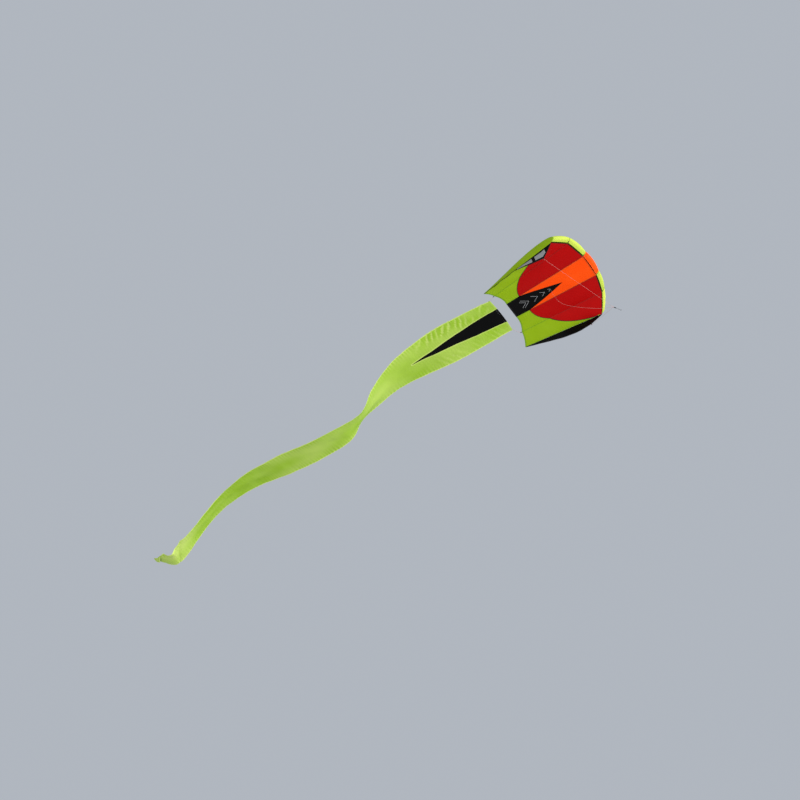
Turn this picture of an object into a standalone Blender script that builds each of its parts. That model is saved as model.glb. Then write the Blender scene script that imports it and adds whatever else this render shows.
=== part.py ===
# Single-line ram-air kite with a long ribbon tail, in metres.
# The nose points to -Y, the tail streams to +Y, the span runs along X and +Z is up.
# The canopy flies nose-up. The origin is on its lower skin, a third of a chord behind the nose.

import math

import bmesh
import bpy
import numpy as np
from mathutils import Matrix, Vector

# Canopy: three rib pairs, from the middle outwards
RIB_FRONT_HALF_SPAN = (0.150, 0.392, 0.578)
RIB_REAR_HALF_SPAN = (0.108, 0.300, 0.448)
RIB_LEAD_AFT = (0.000, 0.053, 0.172)
RIB_LEAD_RISE = (0.000, 0.005, -0.083)
RIB_TRAIL_AFT = (0.940, 0.985, 1.040)
RIB_TRAIL_RISE = (0.010, -0.016, -0.085)
PITCH = math.radians(10.0)
ORIGIN_AFT = 0.285
SKIN = 0.002
GAP = 0.0003
LOWER_BILLOW = 0.04
UPPER_BILLOW = 0.10
BULGE_AT_LIP = 0.18
BULGE_POWER = 1.6
PANEL_EDGE_LEAN = 0.00045
TIP_OVERHANG = 0.0012

# Upper skin over a rib, as shares of its chord: from the intake's upper lip over the nose to the tail
PROFILE = (
    (-0.013, 0.019),
    (-0.032, 0.032),
    (-0.043, 0.053),
    (-0.033, 0.079),
    (0.004, 0.103),
    (0.080, 0.121),
    (0.220, 0.128),
    (0.420, 0.110),
    (0.650, 0.067),
    (0.850, 0.027),
    (1.000, 0.0034),
)
PROFILE_STEPS = 20
PANEL_COLUMNS = 6
RIB_STEPS = 22
RIB_SEAT = 0.0021
RIB_START = 0.003

# Colour fields of the lower skin
RED_REACH = 0.845
RED_SIDE_POWER = 2.6
RED_END_POWER = 1.0 / 1.75
RED_CORNER = 0.02
WEDGE_TIP = 0.349
WEDGE_BASE = 0.820
FIELD_COLUMNS = 14
FIELD_ROWS = 7
FIELD_CROWDING = 1.7
STRIPE_COLUMNS = 8
STRIPE_ROWS = 8
BLACK_PANEL_ROWS = 6

# Side fins: depth and lean of the lower edge at shares of the edge rib's chord
FIN_SHARES = (0.0, 0.06, 0.155, 0.30, 0.50, 0.75, 1.0)
FIN_DEPTHS = (0.003, 0.045, 0.105, 0.098, 0.062, 0.033, 0.003)
FIN_LEANS = (0.0, -0.010, -0.024, 0.007, 0.038, 0.023, 0.0)
FIN_APEX = 0.155
FIN_SEAT = 0.0024
FIN_COLUMNS = 24
FIN_ROWS = 5
FIN_START = 0.004
FIN_END = 0.996
SLOPE_STEP = 0.02
WINDOW_COLUMNS = {"front": (2, 6), "rear": (7, 12)}
WINDOW_ROWS = (1, 4)
WINDOW_THICKNESS = 0.001

# Bridle, keel line and swivel
TAB_LENGTH = 0.014
TAB_WIDTH = 0.010
TAB_BEVEL = 0.0008
TAIL_TAB_SEAT = 0.0022
LINE_RADIUS = 0.0008
KNOT_RADIUS = 0.0022
TOW_POINT = Vector((0.0, -0.475, -0.680))
TOW_KNOT_RADIUS = 0.0045
FLYING_LINE_SLOPE = math.radians(49.0)
KEEL_TAB_SHARE = 0.500
KEEL_TAB_CLEARANCE = 0.0002
KEEL_ROUTE = (
    (0.164, -0.120),
    (0.138, -0.190),
    (0.106, -0.262),
    (0.060, -0.333),
    (-0.005, -0.394),
    (-0.076, -0.452),
    (-0.155, -0.510),
    (-0.237, -0.562),
    (-0.350, -0.630),
)
KEEL_POINTS = 52
KEEL_ARRIVAL = Vector((0.0, 0.94, 0.34))
LINE_SIDES = 8
ROUND_SIDES = 12
SWIVEL_RADIUS = 0.0040
SWIVEL_NECK_RADIUS = 0.0022
SWIVEL_EYE_LENGTH = 0.012
BARREL_RADIUS = 0.0046
BARREL_BELLY_RADIUS = 0.00506
BARREL_LENGTH = 0.020
LEADER_RADIUS = 0.0014
LEADER_LENGTH = 0.070
STOPPER_RADIUS = 0.0035
STOPPER_LENGTH = 0.008

# Tail: its front edge behind the canopy, then its course as way aft, drop and roll
TAIL_FRONT = Vector((0.0, 0.768, -0.111))
TAIL_COURSE = (
    (0.00, 0.000, 0.0),
    (0.34, 0.035, -6.0),
    (0.72, 0.091, -8.0),
    (1.11, 0.158, 5.0),
    (1.35, 0.255, 18.0),
    (1.56, 0.417, 29.0),
    (1.735, 0.612, 41.0),
    (1.95, 0.755, 20.0),
    (2.28, 0.811, 12.0),
    (2.71, 0.834, 4.0),
    (3.14, 0.855, 12.0),
    (3.52, 0.990, 24.0),
    (3.81, 1.249, 26.0),
    (4.04, 1.478, 10.0),
    (4.15, 1.532, 0.0),
    (4.30, 1.473, 5.0),
    (4.40, 1.418, 25.0),
)
TAIL_WIDTH = 0.490
TAIL_END_WIDTH = 0.200
TAIL_TAPER_START = 0.12
TAIL_ROWS = 84
TAIL_BOW = 0.012
TAIL_BOW_REACH = 0.30
TAIL_CORNER = 0.985
TAIL_KNOT_CLEARANCE = 0.0006
RIBBON_COLUMNS = 3
WEDGE_HALF_WIDTH = 0.107
WEDGE_LENGTH = 1.12
WEDGE_SHARE = 0.992
WEDGE_GAP = 0.0005
RIBBON_TIP_STEP = 0.02
WEDGE_COLUMNS = 4
WEDGE_ROWS = 22
HEM_DEPTH = 0.020
HEM_THICKNESS = 0.004
HEM_COLUMNS = 12

CLOTH_ROUGHNESS = 0.55
LINE_ROUGHNESS = 0.6
CORD_ROUGHNESS = 0.8
STEEL_ROUGHNESS = 0.35
STEEL_METALLIC = 0.9
SMOOTH_ANGLE = math.radians(40.0)
MERGE_DISTANCE = 1e-6

LIME = (0.42, 0.62, 0.03)
BRIGHT_LIME = (0.62, 0.80, 0.06)
RED = (0.50, 0.005, 0.005)
ORANGE = (0.90, 0.11, 0.005)
BLACK = (0.012, 0.012, 0.014)
GREY = (0.30, 0.31, 0.32)
PALE_PINK = (0.80, 0.52, 0.52)
STEEL = (0.10, 0.10, 0.11)


# Scene and materials

def clear_scene():
    for obj in list(bpy.data.objects):
        bpy.data.objects.remove(obj, do_unlink=True)


def finish_of(name, colour, roughness=CLOTH_ROUGHNESS, metallic=0.0):
    material = bpy.data.materials.get(name)
    if material:
        return material
    material = bpy.data.materials.new(name)
    material.use_nodes = True
    shader = material.node_tree.nodes["Principled BSDF"]
    shader.inputs["Base Color"].default_value = (*colour, 1.0)
    shader.inputs["Roughness"].default_value = roughness
    shader.inputs["Metallic"].default_value = metallic
    return material


def axis_empty(name, place):
    empty = bpy.data.objects.new(name, None)
    empty.location = place
    bpy.context.scene.collection.objects.link(empty)
    return empty


def keep(name, shape, material, parent, smooth=False):
    """Put a finished bmesh, made in world coordinates, under the empty that carries it."""
    bmesh.ops.translate(shape, verts=shape.verts, vec=-parent.location)
    mesh = bpy.data.meshes.new(name)
    shape.to_mesh(mesh)
    shape.free()
    if smooth:
        mesh.shade_smooth()
        mesh.set_sharp_from_angle(angle=SMOOTH_ANGLE)
    mesh.materials.append(material)
    obj = bpy.data.objects.new(name, mesh)
    obj.parent = parent
    bpy.context.scene.collection.objects.link(obj)
    return obj


# Curves

def smooth_curve(points, count):
    """Read evenly spaced parameters from a cubic through the points."""
    knots = np.array(points, dtype=float)
    padded = np.vstack([2 * knots[0] - knots[1], knots, 2 * knots[-1] - knots[-2]])
    spans = len(knots) - 1
    result = []
    for position in np.linspace(0.0, spans, count):
        span = min(int(position), spans - 1)
        t = position - span
        a, b, c, d = padded[span:span + 4]
        result.append(0.5 * (2 * b + (c - a) * t + (2 * a - 5 * b + 4 * c - d) * t ** 2
                             + (3 * b - a - 3 * c + d) * t ** 3))
    return np.array(result)


def even_curve(points, count):
    """Read points at even distances along the same smooth curve."""
    fine = smooth_curve(points, 40 * len(points))
    steps = np.linalg.norm(np.diff(fine[:, :2], axis=0), axis=1)
    way = np.concatenate([[0.0], np.cumsum(steps)])
    targets = np.linspace(0.0, way[-1], count)
    columns = [np.interp(targets, way, fine[:, k]) for k in range(fine.shape[1])]
    return np.stack(columns, axis=1), targets


# Shapes

def sheet(name, columns, rows, place, material, parent, thickness=SKIN):
    """Lay a grid on a surface, place(across, along) with both from 0 to 1, and give it thickness."""
    shape = bmesh.new()
    bmesh.ops.create_grid(shape, x_segments=columns, y_segments=rows, size=0.5)
    for vert in shape.verts:
        vert.co = place(vert.co.x + 0.5, vert.co.y + 0.5)
    return thickened(name, shape, material, parent, thickness)


def thickened(name, shape, material, parent, thickness):
    obj = keep(name, shape, material, parent, smooth=True)
    solidify = obj.modifiers.new("cloth", "SOLIDIFY")
    solidify.thickness = thickness
    solidify.offset = 0.0
    solidify.use_even_offset = True
    return obj


def turned(name, start, direction, profile, material, parent, sides=ROUND_SIDES):
    """Spin a profile of (radius, distance) pairs, the first and last on the axis."""
    shape = bmesh.new()
    verts = [shape.verts.new((radius, 0.0, along)) for radius, along in profile]
    edges = [shape.edges.new(pair) for pair in zip(verts, verts[1:])]
    bmesh.ops.spin(shape, geom=verts + edges, cent=(0, 0, 0), axis=(0, 0, 1),
                   angle=2 * math.pi, steps=sides, use_merge=True)
    bmesh.ops.remove_doubles(shape, verts=shape.verts, dist=MERGE_DISTANCE)
    bmesh.ops.recalc_face_normals(shape, faces=shape.faces)
    turn = Vector((0, 0, 1)).rotation_difference(Vector(direction).normalized())
    bmesh.ops.transform(shape, matrix=Matrix.Translation(start) @ turn.to_matrix().to_4x4(),
                        verts=shape.verts)
    return keep(name, shape, material, parent, smooth=True)


def ball_profile(radius, neck=0.0, steps=6):
    """Half outline of a ball about distance 0, cut where it meets a neck of the given radius."""
    end = math.pi - math.asin(neck / radius)
    angles = [end * k / steps for k in range(steps + 1)]
    return [(radius * math.sin(angle), -radius * math.cos(angle)) for angle in angles]


def tab(name, centre, size, material, parent):
    """Sew on a flat tab that lies square to the canopy's chord."""
    shape = bmesh.new()
    bmesh.ops.create_cube(shape, size=1.0)
    bmesh.ops.scale(shape, vec=size, verts=shape.verts)
    bmesh.ops.bevel(shape, geom=shape.edges, offset=TAB_BEVEL, segments=1, affect="EDGES",
                    profile=0.5)
    bmesh.ops.transform(shape, matrix=Matrix.Translation(centre) @ Matrix.Rotation(-PITCH, 4, "X"),
                        verts=shape.verts)
    return keep(name, shape, material, parent)


# Canopy surfaces, in the canopy's own directions: across the span, aft along the chord, and rise

def canopy_point(across, aft, rise):
    way = aft - ORIGIN_AFT
    return Vector((
        across,
        way * math.cos(PITCH) + rise * math.sin(PITCH),
        -way * math.sin(PITCH) + rise * math.cos(PITCH),
    ))


def rib_ends(rib):
    """Lead and trail of rib 0 to 5, from the left tip to the right tip, as (across, aft, rise)."""
    pair = 2 - rib if rib < 3 else rib - 3
    side = -1.0 if rib < 3 else 1.0
    lead = np.array((side * RIB_FRONT_HALF_SPAN[pair], RIB_LEAD_AFT[pair], RIB_LEAD_RISE[pair]))
    trail = np.array((side * RIB_REAR_HALF_SPAN[pair], RIB_TRAIL_AFT[pair], RIB_TRAIL_RISE[pair]))
    return lead, trail


def rib_length(rib):
    lead, trail = rib_ends(rib)
    return np.linalg.norm(trail - lead)


def chord_point(cell, share, chord):
    """Left and right end of a cell at a chord share, and the point at a share across it."""
    left_lead, left_trail = rib_ends(cell)
    right_lead, right_trail = rib_ends(cell + 1)
    left = left_lead + (left_trail - left_lead) * chord
    right = right_lead + (right_trail - right_lead) * chord
    return left, right, left + (right - left) * share


def rib_shares():
    """Where the six ribs stand, with the span running from -1 to 1."""
    outer = RIB_FRONT_HALF_SPAN[2]
    return [rib_ends(rib)[0][0] / outer for rib in range(6)]


def lower_point(span, chord, drop=0.0):
    """Point on the lower skin's middle surface, at span -1 to 1."""
    shares = rib_shares()
    cell = max(k for k in range(5) if span >= shares[k] or k == 0)
    share = (span - shares[cell]) / (shares[cell + 1] - shares[cell])
    left, right, flat = chord_point(cell, share, chord)
    width = np.linalg.norm(right - left)
    fill = 4.0 * share * (1.0 - share) * math.sin(math.pi * min(max(chord, 0.0), 1.0))
    return canopy_point(flat[0], flat[1], flat[2] - LOWER_BILLOW * width * fill - drop)


def red_reach(span):
    """How far back the red field goes, as a share of the chord."""
    open_share = max(0.0, 1.0 - abs(span) ** RED_SIDE_POWER)
    return max(RED_CORNER, RED_REACH * open_share ** RED_END_POWER)


def wedge_edge(span):
    """Where the black panel starts between the inner ribs."""
    return WEDGE_TIP + (WEDGE_BASE - WEDGE_TIP) * min(1.0, abs(span) / rib_shares()[3])


def build_lower_skin(parent):
    inner = rib_shares()[3]
    seam = GAP / RIB_FRONT_HALF_SPAN[2]
    edge = 1.0 + TIP_OVERHANG / RIB_FRONT_HALF_SPAN[2]
    red = finish_of("red ripstop", RED)
    lime = finish_of("lime ripstop", LIME)
    for side, label in ((-1.0, "left"), (1.0, "right")):
        def spread(t, side=side):
            # columns crowd towards the tip, where the outline turns fast
            return side * (inner + seam + (edge - inner - seam) * (1.0 - (1.0 - t) ** FIELD_CROWDING))

        def red_place(t, v, spread=spread):
            span = spread(t)
            reach = red_reach(min(1.0, abs(span) + 2 * seam)) - seam
            return lower_point(span, reach * v)

        def lime_place(t, v, spread=spread):
            span = spread(t)
            reach = red_reach(min(1.0, abs(span)))
            return lower_point(span, reach + (1.0 - reach) * v)

        sheet("lower_red_" + label, FIELD_COLUMNS, FIELD_ROWS, red_place, red, parent)
        sheet("lower_lime_" + label, FIELD_COLUMNS, FIELD_ROWS, lime_place, lime, parent)

    def stripe_place(t, v):
        span = (2.0 * t - 1.0) * (inner - seam)
        return lower_point(span, (wedge_edge(span) - seam) * v)

    def panel_place(t, v):
        span = (2.0 * t - 1.0) * (inner - seam)
        start = wedge_edge(span) + seam
        return lower_point(span, start + (1.0 - start) * v)

    sheet("lower_orange_stripe", STRIPE_COLUMNS, STRIPE_ROWS, stripe_place,
          finish_of("orange ripstop", ORANGE), parent)
    sheet("lower_black_panel", STRIPE_COLUMNS, BLACK_PANEL_ROWS, panel_place,
          finish_of("black ripstop", BLACK), parent)


def build_upper_skin(parent):
    points = smooth_curve(PROFILE, PROFILE_STEPS + 1)
    lime = finish_of("lime ripstop", LIME)
    materials = (lime, lime, finish_of("orange ripstop", ORANGE), lime,
                 finish_of("bright ripstop", BRIGHT_LIME))
    side_gap = SKIN / 2 + GAP + PANEL_EDGE_LEAN

    for cell, material in enumerate(materials):
        def place(across, along, cell=cell):
            row = int(round(along * PROFILE_STEPS))
            chord, height = points[row]
            slope = points[min(row + 1, PROFILE_STEPS)] - points[max(row - 1, 0)]
            outward = np.array((-slope[1], slope[0])) / np.linalg.norm(slope)
            left, right, _ = chord_point(cell, 0.0, chord)
            width = np.linalg.norm(right - left)
            inset = side_gap / width
            share = inset + (1.0 - 2.0 * inset) * across
            flat = left + (right - left) * share
            length = rib_length(cell) * (1.0 - share) + rib_length(cell + 1) * share
            fullness = min(1.0, BULGE_AT_LIP + (1.0 - BULGE_AT_LIP) * along)
            bulge = UPPER_BILLOW * width * 4.0 * share * (1.0 - share)
            bulge *= math.sin(math.pi * fullness ** BULGE_POWER)
            return canopy_point(flat[0], flat[1] + bulge * outward[0],
                                flat[2] + height * length + bulge * outward[1])

        sheet("upper_panel_%d" % (cell + 1), PANEL_COLUMNS, PROFILE_STEPS, place, material, parent)


def build_ribs(parent):
    material = finish_of("lime ripstop", LIME)
    points = smooth_curve(PROFILE, RIB_STEPS + 1)
    slopes = np.gradient(points, axis=0)
    outward = np.stack([-slopes[:, 1], slopes[:, 0]], axis=1)
    outward /= np.linalg.norm(outward, axis=1)[:, None]
    for rib in range(6):
        lead, trail = rib_ends(rib)
        length = rib_length(rib)
        rim = points * length + outward * SKIN / 2
        outline = [(RIB_START, RIB_SEAT), (length, RIB_SEAT)]
        outline += [tuple(point) for point in rim[::-1]]
        way = (trail - lead) / length
        thick = Vector(np.cross(canopy_point(*(way + lead)) - canopy_point(*lead),
                                canopy_point(0, 0, 1) - canopy_point(0, 0, 0))).normalized()
        shape = bmesh.new()
        corners = []
        for along, rise in outline:
            spot = lead + way * along
            corners.append(shape.verts.new(canopy_point(spot[0], spot[1], spot[2] + rise)
                                           - thick * SKIN / 2))
        face = shape.faces.new(corners)
        moved = bmesh.ops.extrude_face_region(shape, geom=[face])["geom"]
        bmesh.ops.translate(shape, vec=thick * SKIN,
                            verts=[item for item in moved if isinstance(item, bmesh.types.BMVert)])
        bmesh.ops.recalc_face_normals(shape, faces=shape.faces)
        keep("rib_%d" % (rib + 1), shape, material, parent)


# Side fins

def fin_value(values, share):
    """Smooth curve through the fin's stations."""
    slopes = np.gradient(values, FIN_SHARES)
    span = min(int(np.searchsorted(FIN_SHARES, share, side="right")) - 1, len(FIN_SHARES) - 2)
    span = max(span, 0)
    size = FIN_SHARES[span + 1] - FIN_SHARES[span]
    t = (share - FIN_SHARES[span]) / size
    rise = 3 * t ** 2 - 2 * t ** 3
    start_pull = (t ** 3 - 2 * t ** 2 + t) * size * slopes[span]
    end_pull = (t ** 3 - t ** 2) * size * slopes[span + 1]
    return (1 - rise) * values[span] + start_pull + rise * values[span + 1] + end_pull


def fin_point(side, share, down):
    """Point on a fin: share along the edge rib, down from its seam (0) to its lower edge (1)."""
    lead, trail = rib_ends(5 if side > 0 else 0)
    seam = lead + (trail - lead) * share
    depth = fin_value(FIN_DEPTHS, share)
    lean = fin_value(FIN_LEANS, share)
    across = seam[0] + side * lean * down
    return canopy_point(across, seam[1], seam[2] - FIN_SEAT - depth * down)


def fin_outward(side, share, down):
    """Direction square to the fin, away from the middle of the kite."""
    along = fin_point(side, share + SLOPE_STEP, down) - fin_point(side, share - SLOPE_STEP, down)
    below = fin_point(side, share, down + SLOPE_STEP) - fin_point(side, share, down - SLOPE_STEP)
    normal = along.cross(below).normalized()
    return normal if normal.x * side > 0 else -normal


def fin_share(column):
    return FIN_START + (FIN_END - FIN_START) * column / FIN_COLUMNS


def build_fins(parent):
    black = finish_of("black ripstop", BLACK)
    grey = finish_of("grey ripstop", GREY)
    webbing = finish_of("black webbing", BLACK, CORD_ROUGHNESS)
    for side, label in ((-1.0, "left"), (1.0, "right")):
        def place(t, v, side=side):
            return fin_point(side, fin_share(t * FIN_COLUMNS), v)

        sheet("fin_" + label, FIN_COLUMNS, FIN_ROWS, place, black, parent)
        lift = SKIN / 2 + GAP + WINDOW_THICKNESS / 2
        top, foot = WINDOW_ROWS
        for part, (start, end) in WINDOW_COLUMNS.items():
            def window(t, v, side=side, start=start, end=end):
                share = fin_share(start + (end - start) * t)
                down = (top + (foot - top) * v) / FIN_ROWS
                return fin_point(side, share, down) + fin_outward(side, share, down) * lift

            sheet("fin_window_%s_%s" % (part, label), end - start, foot - top, window, grey,
                  parent, WINDOW_THICKNESS)
        tab("bridle_tab_" + label, fin_point(side, FIN_APEX, 1.0) - tab_drop(TAB_LENGTH / 2 + GAP),
            (SKIN, TAB_WIDTH, TAB_LENGTH), webbing, parent)


def tab_drop(length):
    """Step down from the canopy, square to its chord."""
    return canopy_point(0, 0, length) - canopy_point(0, 0, 0)


def leg_knot(side):
    """Centre of the knot under a fin's tab."""
    return fin_point(side, FIN_APEX, 1.0) - tab_drop(TAB_LENGTH + KNOT_RADIUS + 2 * GAP)


# Bridle, keel line, swivel and leader

def taut_line(name, start, end, knots, material, parent):
    """A taut line with a ball knot about its start, and with knots = 2 another about its end."""
    way = end - start
    knot = ball_profile(KNOT_RADIUS, LINE_RADIUS)
    far_end = [(LINE_RADIUS, way.length), (0.0, way.length)]
    if knots == 2:
        far_end = [(radius, way.length - along) for radius, along in reversed(knot)]
    return turned(name, start, way, knot + far_end, material, parent, LINE_SIDES)


def build_bridle(parent):
    pink = finish_of("pale pink line", PALE_PINK, LINE_ROUGHNESS)
    for side, label in ((-1.0, "left"), (1.0, "right")):
        start = leg_knot(side)
        way = (TOW_POINT - start).normalized()
        end = TOW_POINT - way * (TOW_KNOT_RADIUS + GAP)
        taut_line("bridle_leg_" + label, start, end, 1, pink, parent)
    turned("tow_knot", TOW_POINT, (0, 0, 1), ball_profile(TOW_KNOT_RADIUS, steps=8), pink, parent)


def line_direction():
    return Vector((0.0, -math.cos(FLYING_LINE_SLOPE), -math.sin(FLYING_LINE_SLOPE)))


def build_keel_line(parent):
    pink = finish_of("pale pink line", PALE_PINK, LINE_ROUGHNESS)
    webbing = finish_of("black webbing", BLACK, CORD_ROUGHNESS)
    seat = lower_point(0.0, KEEL_TAB_SHARE) - tab_drop(SKIN / 2 + GAP + KEEL_TAB_CLEARANCE)
    tab("keel_tab", seat - tab_drop(TAB_LENGTH / 2), (SKIN, TAB_WIDTH, TAB_LENGTH), webbing, parent)
    start = seat - tab_drop(TAB_LENGTH + GAP + LINE_RADIUS)
    end = TOW_POINT + KEEL_ARRIVAL.normalized() * (TOW_KNOT_RADIUS + GAP)
    route = [(start.y, start.z)] + list(KEEL_ROUTE) + [(end.y, end.z)]
    points, _ = even_curve(route, KEEL_POINTS)
    curve = bpy.data.curves.new("keel_line", "CURVE")
    curve.dimensions = "3D"
    curve.bevel_depth = LINE_RADIUS
    curve.bevel_resolution = 2
    curve.use_fill_caps = True
    spline = curve.splines.new("POLY")
    spline.points.add(len(points) - 1)
    for point, (y, z) in zip(spline.points, points):
        point.co = (0.0, y, z, 1.0)
    curve.materials.append(pink)
    obj = bpy.data.objects.new("keel_line", curve)
    obj.parent = parent
    bpy.context.scene.collection.objects.link(obj)


def build_swivel(bridle, swivel):
    steel = finish_of("black steel", STEEL, STEEL_ROUGHNESS, STEEL_METALLIC)
    black = finish_of("black cord", BLACK, CORD_ROUGHNESS)
    way = line_direction()
    eye = TOW_POINT + way * (TOW_KNOT_RADIUS + GAP)
    barrel = eye + way * (SWIVEL_EYE_LENGTH + GAP)
    leader = barrel + way * (BARREL_LENGTH + GAP)
    stopper = leader + way * (LEADER_LENGTH + GAP)
    turned("swivel_eye", eye, way, (
        (0.0, 0.0),
        (SWIVEL_NECK_RADIUS, 0.0),
        (SWIVEL_NECK_RADIUS, SWIVEL_EYE_LENGTH * 0.5),
        (SWIVEL_RADIUS, SWIVEL_EYE_LENGTH * 0.7),
        (SWIVEL_RADIUS, SWIVEL_EYE_LENGTH),
        (0.0, SWIVEL_EYE_LENGTH),
    ), steel, bridle)
    turned("swivel_barrel", barrel, way, (
        (0.0, 0.0),
        (BARREL_RADIUS, 0.0),
        (BARREL_BELLY_RADIUS, BARREL_LENGTH * 0.2),
        (BARREL_BELLY_RADIUS, BARREL_LENGTH * 0.7),
        (SWIVEL_NECK_RADIUS, BARREL_LENGTH),
        (0.0, BARREL_LENGTH),
    ), steel, swivel)
    turned("tow_leader", leader, way, (
        (0.0, 0.0),
        (LEADER_RADIUS, 0.0),
        (LEADER_RADIUS, LEADER_LENGTH),
        (0.0, LEADER_LENGTH),
    ), black, swivel)
    turned("leader_knot", stopper, way, (
        (0.0, 0.0),
        (STOPPER_RADIUS * 0.7, 0.0),
        (STOPPER_RADIUS, STOPPER_LENGTH * 0.35),
        (STOPPER_RADIUS, STOPPER_LENGTH),
        (0.0, STOPPER_LENGTH),
    ), black, swivel)


# Tail

def tail_rows():
    """Middle, half-width direction and distance from the front of every row of the ribbon."""
    points, way = even_curve(TAIL_COURSE, TAIL_ROWS + 1)
    slopes = np.gradient(points[:, :2], axis=0)
    rows = []
    for (aft, drop, roll), slope, distance in zip(points, slopes, way):
        middle = TAIL_FRONT + Vector((0.0, aft, -drop))
        up = Vector((0.0, slope[1], slope[0])).normalized()
        angle = math.radians(roll)
        across = Vector((math.cos(angle), 0.0, 0.0)) + up * math.sin(angle)
        rows.append((middle, across, distance))
    return rows


def tail_half_width(share):
    """Half the ribbon's width at a share of its length."""
    taper = max(0.0, share - TAIL_TAPER_START) / (1.0 - TAIL_TAPER_START)
    return (TAIL_WIDTH + (TAIL_END_WIDTH - TAIL_WIDTH) * taper) / 2


def tail_point(rows, row, across):
    """Point of the ribbon at a whole or part row, across from -1 to 1."""
    low = min(int(row), TAIL_ROWS - 1)
    t = row - low
    middle = rows[low][0].lerp(rows[low + 1][0], t)
    side = rows[low][1].lerp(rows[low + 1][1], t).normalized()
    distance = rows[low][2] + (rows[low + 1][2] - rows[low][2]) * t
    ahead = (rows[low + 1][0] - rows[low][0]).normalized()
    bow = TAIL_BOW * (1.0 - across ** 2) * max(0.0, 1.0 - distance / TAIL_BOW_REACH)
    return middle + side * (tail_half_width(distance / rows[-1][2]) * across) - ahead * bow


def wedge_share(row, tip_row, margin):
    """Half-width of the black wedge as a share of the ribbon's half-width."""
    if row >= tip_row:
        return 0.0
    half = WEDGE_HALF_WIDTH * (1.0 - row / tip_row)
    return (half + margin) / tail_half_width(row / TAIL_ROWS)


def build_ribbon(tail, rows, first, tip_row):
    """Two halves that part round the wedge and run together behind its tip."""
    shape = bmesh.new()
    stations = [first + (TAIL_ROWS - first) * index / TAIL_ROWS for index in range(TAIL_ROWS + 1)]
    tip_index = next(index for index, row in enumerate(stations) if row >= tip_row)
    stations[tip_index] = tip_row + RIBBON_TIP_STEP
    for side in (-1.0, 1.0):
        before = set(shape.verts)
        bmesh.ops.create_grid(shape, x_segments=RIBBON_COLUMNS, y_segments=TAIL_ROWS, size=0.5)
        for vert in set(shape.verts) - before:
            row = stations[int(round((vert.co.y + 0.5) * TAIL_ROWS))]
            inner = wedge_share(row, tip_row, WEDGE_GAP)
            across = side * (inner + (1.0 - inner) * (vert.co.x + 0.5))
            vert.co = tail_point(rows, row, across)
    bmesh.ops.remove_doubles(shape, verts=shape.verts, dist=MERGE_DISTANCE)
    bmesh.ops.recalc_face_normals(shape, faces=shape.faces)
    thickened("tail_ribbon", shape, finish_of("tail ripstop", BRIGHT_LIME), tail, SKIN)


def build_tail(tail):
    rows = tail_rows()
    length = rows[-1][2]
    first = HEM_DEPTH / length * TAIL_ROWS
    tip_row = WEDGE_LENGTH / length * TAIL_ROWS
    hem_end = first - WEDGE_GAP / length * TAIL_ROWS
    black = finish_of("black ripstop", BLACK)
    build_ribbon(tail, rows, first, tip_row)

    def wedge_place(t, v):
        row = first + (tip_row * WEDGE_SHARE - first) * v
        return tail_point(rows, row, (2.0 * t - 1.0) * wedge_share(row, tip_row, 0.0))

    def hem_place(t, v):
        return tail_point(rows, hem_end * v, 2.0 * t - 1.0)

    sheet("tail_wedge", WEDGE_COLUMNS, WEDGE_ROWS, wedge_place, black, tail)
    sheet("tail_hem", HEM_COLUMNS, 1, hem_place, black, tail, HEM_THICKNESS)


def tail_line_ends(side):
    """Centres of the knots behind the trailing edge and in front of the tail's hem."""
    _, trail = rib_ends(4 if side > 0 else 1)
    behind_tab = TAIL_TAB_SEAT + TAB_LENGTH + KNOT_RADIUS + GAP
    start = canopy_point(trail[0], trail[1] + behind_tab, trail[2])
    corner = tail_point(tail_rows(), 0.0, side * TAIL_CORNER)
    return start, corner - Vector((0.0, KNOT_RADIUS + GAP + TAIL_KNOT_CLEARANCE, 0.0))


def build_tail_lines(canopy, lines):
    webbing = finish_of("black webbing", BLACK, CORD_ROUGHNESS)
    pink = finish_of("pale pink line", PALE_PINK, LINE_ROUGHNESS)
    for side, label in ((-1.0, "left"), (1.0, "right")):
        _, trail = rib_ends(4 if side > 0 else 1)
        centre = canopy_point(trail[0], trail[1] + TAIL_TAB_SEAT + TAB_LENGTH / 2, trail[2] - SKIN / 4)
        tab("tail_tab_" + label, centre, (TAB_WIDTH, TAB_LENGTH, SKIN), webbing, canopy)
        taut_line("tail_line_" + label, *tail_line_ends(side), 2, pink, lines)


def main():
    clear_scene()
    tail_start, tail_end = tail_line_ends(1.0)
    canopy = axis_empty("canopy_origin", Vector((0.0, 0.0, 0.0)))
    bridle = axis_empty("bridle_axis", Vector((0.0, *leg_knot(1.0).yz)))
    swivel = axis_empty("swivel_axis", TOW_POINT)
    lines = axis_empty("tail_line_axis", Vector((0.0, *tail_start.yz)))
    tail = axis_empty("tail_axis", Vector((0.0, *tail_end.yz)))
    build_lower_skin(canopy)
    build_upper_skin(canopy)
    build_ribs(canopy)
    build_fins(canopy)
    build_bridle(bridle)
    build_keel_line(canopy)
    build_swivel(bridle, swivel)
    build_tail_lines(canopy, lines)
    build_tail(tail)


main()
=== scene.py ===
"""Looks of the single-line ram-air kite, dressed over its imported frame."""

import logging
import math
from collections.abc import Callable, Iterable, Sequence
from dataclasses import dataclass
from enum import Enum
from typing import Any

import bmesh
import bpy
import numpy as np
from mathutils import Matrix, Vector, noise


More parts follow.
